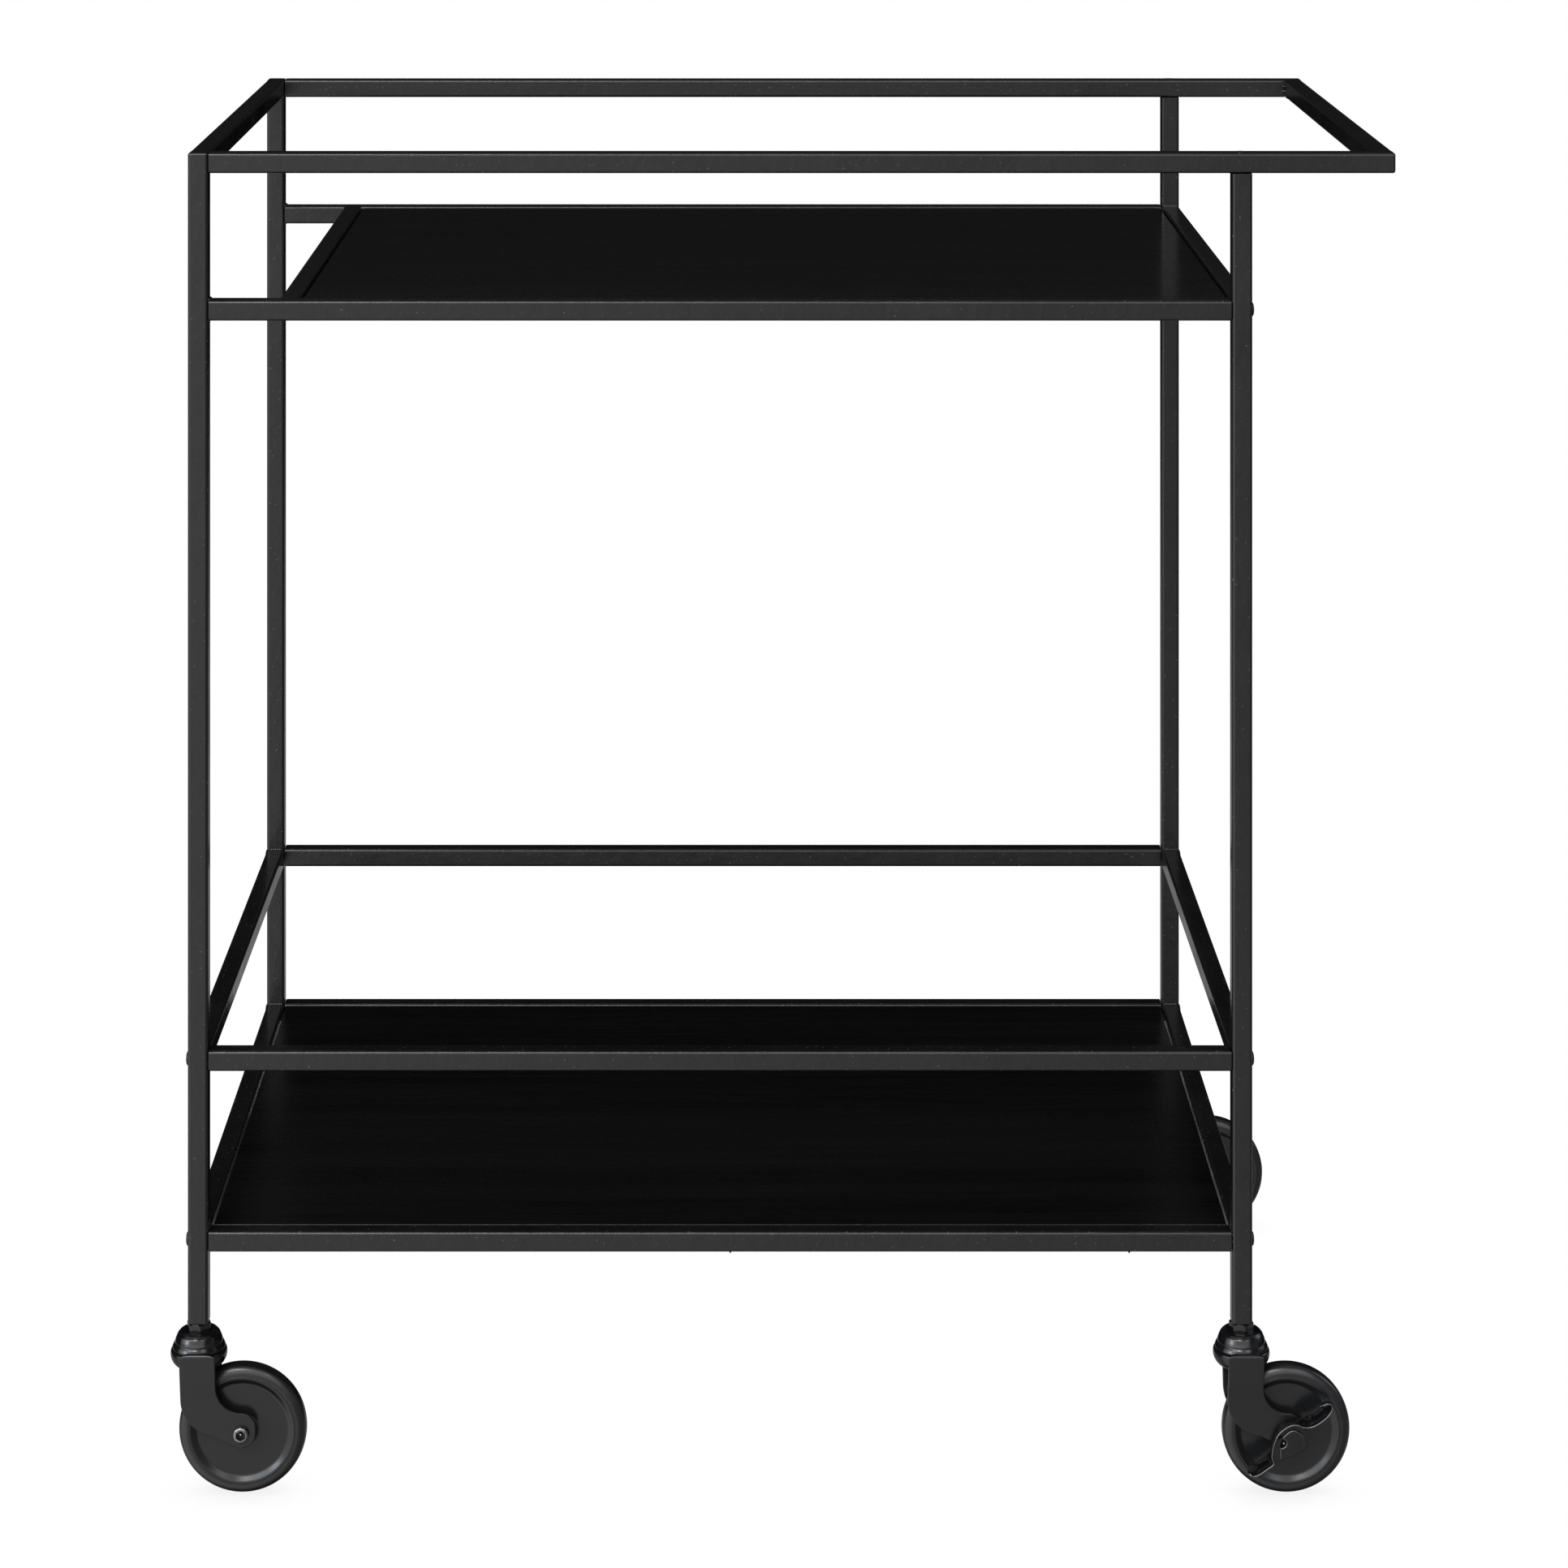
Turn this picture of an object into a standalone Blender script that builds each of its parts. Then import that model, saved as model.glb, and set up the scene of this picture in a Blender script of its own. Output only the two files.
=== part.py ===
"""Two-shelf serving cart: a frame of square steel tube, two veneered panels and four swivel casters.

Metres, +Z up. +X points towards the handle and -Y towards the front. The origin is on the floor,
under the middle of the cart.
"""

import math

import bmesh
import bpy
from mathutils import Vector

# Clearance between neighbouring pieces, under a screw's head, and of a shaft that turns in its bore
GAP = 0.0003
SEAT_GAP = 0.0001
RUNNING_GAP = 0.0001

# Square tube. A rail's end is a threaded block where a screw enters it.
TUBE = 0.012
WALL = 0.001
TUBE_CORNER = 0.0012
END_BLOCK = 0.010
WELD_LAP = 0.002

# Frame: lengths from the left posts' outer faces, and heights of the rails' top faces
FRAME_LENGTH = 0.625
FRAME_DEPTH = 0.400
HANDLE_REACH = 0.709
CROSS_RAIL_START = 0.053
HEIGHT = 0.787
UPPER_SHELF_TOP = 0.7004
GUARD_TOP = 0.2599
LOWER_SHELF_TOP = 0.1539
POST_FOOT = 0.0997

# Shelf panels and the tabs that carry them
PANEL_THICKNESS = 0.009
PANEL_DROP = 0.0008
PANEL_GAP = 0.0015
PANEL_EDGE = 0.0005
TAB_LENGTH = 0.020
TAB_REACH = 0.012
TAB_THICKNESS = 0.0016
TAB_PLACES = (0.12, 0.5, 0.88)

# M5 screws: low button heads at the posts' sides, countersunk heads in the top rail
SCREW_RADIUS = 0.0025
SCREW_LENGTH = 0.020
SCREW_HEAD_RADIUS = 0.0042
SCREW_HEAD_HEIGHT = 0.0013
COUNTERSINK = SCREW_HEAD_RADIUS - SCREW_RADIUS

# Leg plugs with an M6 thread for the caster stems
PLUG_LENGTH = 0.024
STEM_RADIUS = 0.003
STEM_TOP = POST_FOOT + 0.0215
HEX_RADIUS = 0.0075
HEX_TURN = math.radians(17)
HEX_BOTTOM = 0.0946

# Casters: the swivel axis is a post's centre line, and the axle trails towards +X
AXLE_HEIGHT = 0.0375
TRAIL = 0.026
RACE_RADIUS = 0.0168
RACE_BOTTOM = 0.075
RACE_TOP = 0.0845
DOME_RADIUS = 0.0135
DOME_TOP = 0.0949
KINGPIN_RADIUS = 0.004
KINGPIN_HEAD_RADIUS = 0.0065
KINGPIN_HEAD_HEIGHT = 0.0022
BALL_RADIUS = 0.0022
BALL_PITCH_RADIUS = 0.0100
BALL_COUNT = 8
BALL_HEIGHT = 0.0796

# Fork legs
LEG_THICKNESS = 0.002
LEG_INSIDE = 0.0084
LEG_SPREAD = 0.0065
LEG_SPREAD_START = 0.050
LEG_SPREAD_END = 0.078
LEG_BACK = -0.0094
LEG_FRONT = 0.0115
LEG_TOP = 0.0852
LOBE_RADIUS = 0.0085
LOBE_TOP = 0.0494
SWEEP_START = 0.0655
HEEL_X = 0.012
HEEL_TOP = 0.057
HEEL_RISE = 0.021

# Wheels and axles
WHEEL_RADIUS = 0.0375
TREAD_SEAT_RADIUS = 0.0315
WHEEL_HALF_WIDTH = 0.0065
SHOULDER_RISE = 0.0040
SHOULDER_WIDTH = 0.0030
RIM_RADIUS = 0.0301
DISC_RADIUS = 0.0270
DISC_DEPTH = 0.0030
HUB_HALF_WIDTH = 0.0081
HUB_BOSS_RADIUS = 0.0083
AXLE_RADIUS = 0.003
AXLE_HEAD_RADIUS = 0.0047
AXLE_HEAD_HEIGHT = 0.0028
NUT_RADIUS = 0.0058
NUT_HEIGHT = 0.004

# Brake rocker, on a neck round the axle bolt's head. It rises towards +X, and hangs a little below the axle.
ROCKER_SLOPE = math.radians(37.5)
ROCKER_TAIL = -0.0315
ROCKER_NOSE = 0.0318
ROCKER_DROP = 0.0008
ROCKER_ARM = 0.0037
ROCKER_BODY = 0.0061
ROCKER_BODY_SPREAD = 0.0095
ROCKER_THICKNESS = 0.0018
ROCKER_OFFSET = 0.0129
RIM_REACH = 0.0040
NOSE_TAB_REACH = 0.0062
TAIL_TAB_REACH = 0.0045
NECK_RADIUS = 0.0062
CAP_SIZE = 0.0134
CAP_CORNER = 0.0060
CAP_THICKNESS = 0.0016

# Faceting. A tyre has the most sides, so that it rolls evenly.
TYRE_STEPS = 32
HUB_STEPS = 24
CASTER_STEPS = 16
PIVOT_STEPS = 24
SCREW_SIDES = 10
HOLE_SIDES = 8

# Places that follow from the sizes
LEFT = -(HANDLE_REACH - (RACE_RADIUS - TUBE / 2)) / 2
RIGHT = LEFT + FRAME_LENGTH
HANDLE = LEFT + HANDLE_REACH
FRONT = -FRAME_DEPTH / 2
BACK = FRAME_DEPTH / 2
CROSS_RAIL = LEFT + CROSS_RAIL_START
RAIL_START = LEFT + TUBE + GAP
RAIL_END = RIGHT - TUBE - GAP
RIGHT_POST_TOP = HEIGHT - TUBE - GAP
LEG_OUTSIDE = LEG_INSIDE + LEG_THICKNESS
POSTS_X = {"left": LEFT + TUBE / 2, "right": RIGHT - TUBE / 2}
POSTS_Y = {"front": FRONT + TUBE / 2, "rear": BACK - TUBE / 2}
BRAKED = ("front_right", "rear_left")

# Colour, roughness and metallic value of each finish
FINISHES = {
    "powder_coat": ((0.026, 0.026, 0.027), 0.45, 0.0),
    "black_veneer": ((0.012, 0.011, 0.010), 0.35, 0.0),
    "caster_enamel": ((0.018, 0.018, 0.019), 0.22, 0.0),
    "tyre_rubber": ((0.014, 0.014, 0.015), 0.60, 0.0),
    "hub_plastic": ((0.022, 0.022, 0.024), 0.38, 0.0),
    "black_steel": ((0.030, 0.030, 0.032), 0.30, 1.0),
    "bright_steel": ((0.55, 0.55, 0.56), 0.25, 1.0),
    "plug_nylon": ((0.020, 0.020, 0.020), 0.55, 0.0),
}

part = bpy.data.collections.new("serving_cart")
helpers = bpy.data.collections.new("cutters")


def clear_scene():
    for obj in list(bpy.data.objects):
        bpy.data.objects.remove(obj)
    bpy.context.scene.collection.children.link(part)
    bpy.context.scene.collection.children.link(helpers)


def make_finishes():
    made = {}
    for name, (colour, roughness, metallic) in FINISHES.items():
        material = bpy.data.materials.new(name)
        material.use_nodes = True
        shader = material.node_tree.nodes["Principled BSDF"]
        shader.inputs["Base Color"].default_value = (*colour, 1)
        shader.inputs["Roughness"].default_value = roughness
        shader.inputs["Metallic"].default_value = metallic
        made[name] = material
    return made


def add(name, mesh, location=(0, 0, 0), rotation=(0, 0, 0), parent=None):
    """A new object of the part, in its parent's space where it has one."""
    obj = bpy.data.objects.new(name, mesh)
    obj.location = location
    obj.rotation_euler = rotation
    obj.parent = parent
    part.objects.link(obj)
    return obj


def finish(obj, name):
    obj.data.materials.append(finishes[name])
    return obj


def as_helper(obj, owner):
    """Moves an object to a hidden collection that one Boolean modifier of its owner reads."""
    for collection in list(obj.users_collection):
        collection.objects.unlink(obj)
    owner.objects.link(obj)
    obj.hide_render = True
    obj.display_type = "WIRE"


def combine(target, others, operation):
    """Adds one exact Boolean of all the other objects to the target."""
    group = bpy.data.collections.new(f"{target.name}_{operation.lower()}")
    helpers.children.link(group)
    for other in others:
        as_helper(other, group)
    modifier = target.modifiers.new(operation.capitalize(), "BOOLEAN")
    modifier.operation = operation
    modifier.operand_type = "COLLECTION"
    modifier.collection = group
    modifier.solver = "EXACT"
    return target


# Basic shapes


def bar(name, low, high, along=None, corner=TUBE_CORNER, segments=2):
    """A box between two corners, with the edges that run along the named axis rounded."""
    low, high = Vector(low), Vector(high)
    mesh = bpy.data.meshes.new(name)
    shape = bmesh.new()
    bmesh.ops.create_cube(shape, size=1)
    bmesh.ops.scale(shape, vec=high - low, verts=shape.verts)
    if along:
        axis = Vector([letter == along for letter in "XYZ"])
        edges = [e for e in shape.edges if abs((e.verts[0].co - e.verts[1].co).normalized().dot(axis)) > 0.9]
        bmesh.ops.bevel(shape, geom=edges, offset=corner, segments=segments, profile=0.5, affect="EDGES")
    shape.to_mesh(mesh)
    shape.free()
    return add(name, mesh, (low + high) / 2)


def rod(name, radius, start, end, sides=HOLE_SIDES, end_radius=None):
    """A cylinder or cone between two points, for a hole or a plain pin."""
    end_radius = radius if end_radius is None else end_radius
    start, end = Vector(start), Vector(end)
    mesh = bpy.data.meshes.new(name)
    shape = bmesh.new()
    length = (end - start).length
    bmesh.ops.create_cone(shape, cap_ends=True, segments=sides, radius1=radius, radius2=end_radius, depth=length)
    shape.to_mesh(mesh)
    shape.free()
    turn = (end - start).to_track_quat("Z", "Y").to_euler()
    return add(name, mesh, (start + end) / 2, turn)


def turned(name, profile, steps, ring=False, **place):
    """A solid of revolution about its own Z. The profile's (radius, height) points run down its outer side."""
    mesh = bpy.data.meshes.new(name)
    count = len(profile)
    edges = [(i, i + 1) for i in range(count - 1)]
    if ring:
        edges.append((count - 1, 0))
    mesh.from_pydata([(radius, 0, height) for radius, height in profile], edges, [])
    obj = add(name, mesh, **place)
    screw = obj.modifiers.new("Turn", "SCREW")
    screw.steps = steps
    screw.render_steps = steps
    screw.use_merge_vertices = True
    screw.merge_threshold = 0.00001
    return obj


def plate(name, outline, thickness, **place):
    """A flat sheet with the given outline in its own XY plane, centred on that plane."""
    curve = bpy.data.curves.new(name, "CURVE")
    curve.dimensions = "2D"
    curve.fill_mode = "BOTH"
    curve.extrude = thickness / 2
    spline = curve.splines.new("POLY")
    spline.points.add(len(outline) - 1)
    for point, (x, y) in zip(spline.points, outline):
        point.co = (x, y, 0, 1)
    spline.use_cyclic_u = True
    drawn = add(f"{name}_outline", curve)
    bpy.context.view_layer.update()
    graph = bpy.context.evaluated_depsgraph_get()
    mesh = bpy.data.meshes.new_from_object(drawn.evaluated_get(graph))
    bpy.data.objects.remove(drawn)
    shape = bmesh.new()
    shape.from_mesh(mesh)
    bmesh.ops.remove_doubles(shape, verts=shape.verts, dist=0.00001)
    shape.to_mesh(mesh)
    shape.free()
    mesh.name = name
    return add(name, mesh, **place)


def smooth(obj):
    obj.data.shade_smooth()
    obj.data.set_sharp_from_angle(angle=math.radians(35))


def arc(centre, radii, start, end, steps):
    """Points on an ellipse about a centre, angles in degrees."""
    points = []
    for i in range(steps + 1):
        angle = math.radians(start + (end - start) * i / steps)
        points.append((centre[0] + radii[0] * math.cos(angle), centre[1] + radii[1] * math.sin(angle)))
    return points


# Frame of square tube


def post(name, x, y, top):
    return bar(
        name, (x - TUBE / 2, y - TUBE / 2, POST_FOOT), (x + TUBE / 2, y + TUBE / 2, top), "Z"
    )


def post_bore(name, x, y, top):
    reach = TUBE / 2 - WALL
    return bar(name, (x - reach, y - reach, POST_FOOT - WALL), (x + reach, y + reach, top))


def cross_rail(name, x, top):
    """A rail between a front and a rear member, lapped into both."""
    return bar(
        name,
        (x, FRONT + TUBE - WELD_LAP, top - TUBE),
        (x + TUBE, BACK - TUBE + WELD_LAP, top),
        "Y",
    )


def cross_bore(name, x, top):
    return bar(
        name, (x + WALL, FRONT + TUBE / 2, top - TUBE + WALL), (x + TUBE - WALL, BACK - TUBE / 2, top - WALL)
    )


def side_holes(name, x, tops):
    """Screw holes through both walls of the posts at x, level with each of the rails."""
    made = []
    for side, y in POSTS_Y.items():
        for top in tops:
            z = top - TUBE / 2
            made.append(
                rod(f"{name}_hole", SCREW_RADIUS + GAP, (x - TUBE, y, z), (x + TUBE, y, z))
            )
    return made


def end_frame(name, x, post_top, bore_top, rail_tops, screw_tops):
    """Two posts joined by welded cross rails. Their bores open into each other and out at the feet."""
    start = x - TUBE / 2
    posts = [post(name if side == "front" else f"{name}_post", x, y, post_top) for side, y in POSTS_Y.items()]
    rails = [cross_rail(f"{name}_rail", start, top) for top in rail_tops]
    bores = [post_bore(f"{name}_bore", x, y, bore_top) for y in POSTS_Y.values()]
    bores += [cross_bore(f"{name}_bore", start, top) for top in rail_tops]
    combine(posts[0], posts[1:] + rails, "UNION")
    combine(posts[0], bores + side_holes(name, x, screw_tops), "DIFFERENCE")
    return finish(posts[0], "powder_coat")


def make_end_frames():
    end_frame(
        "left_end_frame",
        POSTS_X["left"],
        HEIGHT,
        HEIGHT - WALL,
        (HEIGHT, GUARD_TOP, LOWER_SHELF_TOP),
        (GUARD_TOP, LOWER_SHELF_TOP),
    )
    x = POSTS_X["right"]
    right = end_frame(
        "right_end_frame",
        x,
        RIGHT_POST_TOP,
        RIGHT_POST_TOP - END_BLOCK,
        (UPPER_SHELF_TOP, GUARD_TOP, LOWER_SHELF_TOP),
        (UPPER_SHELF_TOP, GUARD_TOP, LOWER_SHELF_TOP),
    )
    threads = []
    for y in POSTS_Y.values():
        low = RIGHT_POST_TOP - END_BLOCK - WALL
        threads.append(
            rod("top_thread", SCREW_RADIUS + GAP, (x, y, low), (x, y, HEIGHT))
        )
    combine(right, threads, "DIFFERENCE")


def side_y(side):
    """The lowest y of a front or rear rail."""
    return FRONT if side == "front" else BACK - TUBE


def long_rail(name, side, top):
    """A rail along X between the posts."""
    y = side_y(side)
    return bar(name, (RAIL_START, y, top - TUBE), (RAIL_END, y + TUBE, top), "X")


def long_bore(name, side, top, start, end):
    y = side_y(side)
    return bar(name, (start, y + WALL, top - TUBE + WALL), (end, y + TUBE - WALL, top - WALL))


def end_thread(name, side, top, x, inwards):
    """A hole from a rail's end at x through its end block and into its bore."""
    y = side_y(side) + TUBE / 2
    z = top - TUBE / 2
    return rod(
        name,
        SCREW_RADIUS + GAP,
        (x - inwards * WALL, y, z),
        (x + inwards * (END_BLOCK + WALL), y, z),
    )


def panel_tabs(name, side, top, start, end):
    """Flat tabs on a rail's inner face, just under the panel."""
    inwards = 1 if side == "front" else -1
    face = FRONT + TUBE if side == "front" else BACK - TUBE
    tab_top = top - PANEL_DROP - PANEL_THICKNESS - GAP
    ends = sorted((face - inwards * WALL / 2, face + inwards * TAB_REACH))
    made = []
    for place in TAB_PLACES:
        x = start + (end - start) * place
        made.append(
            bar(
                f"{name}_tab",
                (x - TAB_LENGTH / 2, ends[0], tab_top - TAB_THICKNESS),
                (x + TAB_LENGTH / 2, ends[1], tab_top),
            )
        )
    return made


def screwed_rail(name, side, top):
    rail = long_rail(name, side, top)
    bore = long_bore(f"{name}_bore", side, top, RAIL_START + END_BLOCK, RAIL_END - END_BLOCK)
    threads = [
        end_thread(f"{name}_thread", side, top, RAIL_START, 1),
        end_thread(f"{name}_thread", side, top, RAIL_END, -1),
    ]
    return finish(rail, "powder_coat"), [bore] + threads


def make_lower_rails():
    for side in POSTS_Y:
        rail, cuts = screwed_rail(f"guard_rail_{side}", side, GUARD_TOP)
        combine(rail, cuts, "DIFFERENCE")
        rail, cuts = screwed_rail(f"lower_shelf_rail_{side}", side, LOWER_SHELF_TOP)
        combine(rail, panel_tabs(rail.name, side, LOWER_SHELF_TOP, RAIL_START, RAIL_END), "UNION")
        combine(rail, cuts, "DIFFERENCE")


def make_upper_shelf_frame():
    """Front, rear and cross rail, welded to the left posts and screwed to the right ones."""
    name = "upper_shelf_frame"
    top = UPPER_SHELF_TOP
    base = long_rail(name, "front", top)
    rear = long_rail(f"{name}_rear", "rear", top)
    others = [rear, cross_rail(f"{name}_cross", CROSS_RAIL, top)]
    cuts = [cross_bore(f"{name}_bore", CROSS_RAIL, top)]
    for side in POSTS_Y:
        others += panel_tabs(name, side, top, CROSS_RAIL + TUBE, RAIL_END)
        cuts.append(long_bore(f"{name}_bore", side, top, RAIL_START - WALL, RAIL_END - END_BLOCK))
        cuts.append(end_thread(f"{name}_thread", side, top, RAIL_END, -1))
    combine(base, others, "UNION")
    combine(base, cuts, "DIFFERENCE")
    finish(base, "powder_coat")


def make_top_rail():
    """The hoop round the top, whose right end past the posts is the handle."""
    name = "top_rail_hoop"
    made = []
    cuts = [cross_bore(f"{name}_bore", HANDLE - TUBE, HEIGHT)]
    for side, y in POSTS_Y.items():
        low = side_y(side)
        piece = name if side == "front" else f"{name}_rear"
        made.append(bar(piece, (RAIL_START, low, HEIGHT - TUBE), (HANDLE, low + TUBE, HEIGHT), "X"))
        cuts.append(long_bore(f"{name}_bore", side, HEIGHT, RAIL_START - WALL, HANDLE - WALL))
        x = POSTS_X["right"]
        through = SCREW_RADIUS + GAP
        cuts.append(rod(f"{name}_hole", through, (x, y, HEIGHT - 2 * TUBE), (x, y, HEIGHT)))
        depth = COUNTERSINK + WALL
        cuts.append(
            rod(
                f"{name}_countersink",
                through,
                (x, y, HEIGHT - COUNTERSINK),
                (x, y, HEIGHT + WALL),
                CASTER_STEPS,
                through + depth,
            )
        )
    made.append(cross_rail(f"{name}_handle", HANDLE - TUBE, HEIGHT))
    combine(made[0], made[1:], "UNION")
    combine(made[0], cuts, "DIFFERENCE")
    finish(made[0], "powder_coat")


def make_panel(name, start, top):
    panel = bar(
        name,
        (start + PANEL_GAP, FRONT + TUBE + PANEL_GAP, top - PANEL_DROP - PANEL_THICKNESS),
        (RIGHT - TUBE - PANEL_GAP, BACK - TUBE - PANEL_GAP, top - PANEL_DROP),
    )
    bevel = panel.modifiers.new("Eased edges", "BEVEL")
    bevel.width = PANEL_EDGE
    bevel.segments = 1
    finish(panel, "black_veneer")


# Fasteners


def button_head():
    """Half of a button head's section, with its underside at z = 0."""
    head = SCREW_HEAD_RADIUS
    return [
        (0, SCREW_HEAD_HEIGHT),
        (head * 0.55, SCREW_HEAD_HEIGHT),
        (head * 0.9, SCREW_HEAD_HEIGHT * 0.55),
        (head, 0),
        (SCREW_RADIUS, 0),
    ]


def countersunk_head():
    """Half of a countersunk head's section, with its flat top at z = 0."""
    return [(0, 0), (SCREW_HEAD_RADIUS, 0), (SCREW_RADIUS, -COUNTERSINK)]


def screw(name, head, seat, outwards, rise):
    """A screw on a face at seat, pointing outwards, with its head's z = 0 at the given rise above that face."""
    outwards = Vector(outwards)
    obj = turned(
        name,
        head + [(SCREW_RADIUS, -SCREW_LENGTH), (0, -SCREW_LENGTH)],
        SCREW_SIDES,
        location=Vector(seat) + outwards * rise,
        rotation=outwards.to_track_quat("Z", "Y").to_euler(),
    )
    smooth(obj)
    return finish(obj, "black_steel")


def make_frame_screws():
    low = TUBE / 2
    for depth, y in POSTS_Y.items():
        screw(f"top_rail_screw_{depth}", countersunk_head(), (POSTS_X["right"], y, HEIGHT), (0, 0, 1), -SEAT_GAP)
        screw(f"upper_shelf_screw_{depth}", button_head(), (RIGHT, y, UPPER_SHELF_TOP - low), (1, 0, 0), SEAT_GAP)
        for end, face, outwards in (("left", LEFT, -1), ("right", RIGHT, 1)):
            for rail, top in (("guard_rail", GUARD_TOP), ("lower_shelf", LOWER_SHELF_TOP)):
                name = f"{rail}_screw_{depth}_{end}"
                screw(name, button_head(), (face, y, top - low), (outwards, 0, 0), SEAT_GAP)


def make_leg_plug(corner, x, y):
    reach = TUBE / 2 - WALL - GAP
    name = f"leg_plug_{corner}"
    plug = bar(name, (x - reach, y - reach, POST_FOOT), (x + reach, y + reach, POST_FOOT + PLUG_LENGTH))
    hole = rod(
        f"{name}_hole", STEM_RADIUS + GAP, (x, y, POST_FOOT - WALL), (x, y, POST_FOOT + PLUG_LENGTH + WALL)
    )
    combine(plug, [hole], "DIFFERENCE")
    finish(plug, "plug_nylon")


# Casters. Each is drawn about its swivel axis, under an empty on that axis at floor level.


def make_stem(corner, swivel):
    """Threaded stem, hexagon, upper race cup and kingpin: the half that stays still with the frame."""
    cup_inside = RACE_TOP - 0.0023
    profile = [
        (0, STEM_TOP),
        (STEM_RADIUS, STEM_TOP),
        (STEM_RADIUS, DOME_TOP),
        (DOME_RADIUS - 0.0039, DOME_TOP),
        (DOME_RADIUS - 0.0011, DOME_TOP - 0.0019),
        (DOME_RADIUS, DOME_TOP - 0.0051),
        (DOME_RADIUS, RACE_TOP + 0.0019),
        (RACE_RADIUS - 0.0012, RACE_TOP + 0.0012),
        (RACE_RADIUS - 0.0012, RACE_TOP + GAP),
        (DOME_RADIUS - 0.0003, RACE_TOP + GAP),
        (DOME_RADIUS - 0.0003, cup_inside),
        (KINGPIN_RADIUS, cup_inside),
        (KINGPIN_RADIUS, RACE_BOTTOM - GAP),
        (KINGPIN_HEAD_RADIUS, RACE_BOTTOM - GAP),
        (KINGPIN_RADIUS, RACE_BOTTOM - KINGPIN_HEAD_HEIGHT),
        (0, RACE_BOTTOM - KINGPIN_HEAD_HEIGHT),
    ]
    stem = turned(f"caster_stem_{corner}", profile, CASTER_STEPS, parent=swivel)
    hexagon = rod(f"{stem.name}_hexagon", HEX_RADIUS, (0, 0, HEX_BOTTOM), (0, 0, POST_FOOT - GAP), 6)
    hexagon.rotation_euler = (0, 0, HEX_TURN)
    hexagon.parent = swivel
    combine(stem, [hexagon], "UNION")
    smooth(stem)
    finish(stem, "caster_enamel")


def make_balls(corner, swivel):
    """The swivel bearing's balls, held by a flat cage."""
    cage = [
        (BALL_PITCH_RADIUS + 0.0010, 0.0004),
        (BALL_PITCH_RADIUS + 0.0010, -0.0004),
        (BALL_PITCH_RADIUS - 0.0010, -0.0004),
        (BALL_PITCH_RADIUS - 0.0010, 0.0004),
    ]
    name = f"swivel_balls_{corner}"
    ring = turned(name, cage, BALL_COUNT * 2, ring=True, location=(0, 0, BALL_HEIGHT), parent=swivel)
    balls = []
    for i in range(BALL_COUNT):
        angle = 2 * math.pi * (i + 0.5) / BALL_COUNT
        mesh = bpy.data.meshes.new("ball")
        shape = bmesh.new()
        bmesh.ops.create_uvsphere(shape, u_segments=6, v_segments=4, radius=BALL_RADIUS)
        shape.to_mesh(mesh)
        shape.free()
        place = (BALL_PITCH_RADIUS * math.cos(angle), BALL_PITCH_RADIUS * math.sin(angle), BALL_HEIGHT)
        balls.append(add(f"{name}_ball", mesh, place, parent=swivel))
    combine(ring, balls, "UNION")
    finish(ring, "bright_steel")


def leg_outline():
    """One fork leg seen from the side, as (x, z) from the swivel axis and the floor."""
    middle = (LEG_BACK + LEG_FRONT) / 2
    half = (LEG_FRONT - LEG_BACK) / 2
    outline = arc((middle, LEG_TOP - 0.0010), (half, 0.0020), 160, 20, 4)
    # The inner edge falls straight from the crown, then sweeps out to the axle lobe.
    outline += [(LEG_FRONT, LEG_TOP - 0.0040)]
    outline += arc((TRAIL, SWEEP_START), (TRAIL - LEG_FRONT, SWEEP_START - LOBE_TOP), 180, 270, 5)
    outline += arc((TRAIL, LOBE_TOP - LOBE_RADIUS), (LOBE_RADIUS, LOBE_RADIUS), 70, 0, 3)
    outline += arc((TRAIL, AXLE_HEIGHT), (LOBE_RADIUS, LOBE_RADIUS), 0, -115, 5)
    # The outer edge sweeps back up from the lobe to the heel.
    outline += arc((HEEL_X, HEEL_TOP), (HEEL_X - LEG_BACK, HEEL_RISE), 265, 180, 5)
    outline += [(LEG_BACK, LEG_TOP - 0.0040)]
    return outline


def spread_leg(leg, outwards):
    """Splays a leg from just above the axle, so that its top meets the race cup's wall."""
    shape = bmesh.new()
    shape.from_mesh(leg.data)
    for height in (LEG_SPREAD_START, LEG_SPREAD_END):
        geometry = shape.verts[:] + shape.edges[:] + shape.faces[:]
        bmesh.ops.bisect_plane(shape, geom=geometry, plane_co=(0, height, 0), plane_no=(0, 1, 0))
    for vertex in shape.verts:
        risen = (vertex.co.y - LEG_SPREAD_START) / (LEG_SPREAD_END - LEG_SPREAD_START)
        vertex.co.z += outwards * LEG_SPREAD * min(max(risen, 0), 1)
    shape.to_mesh(leg.data)
    shape.free()


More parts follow.
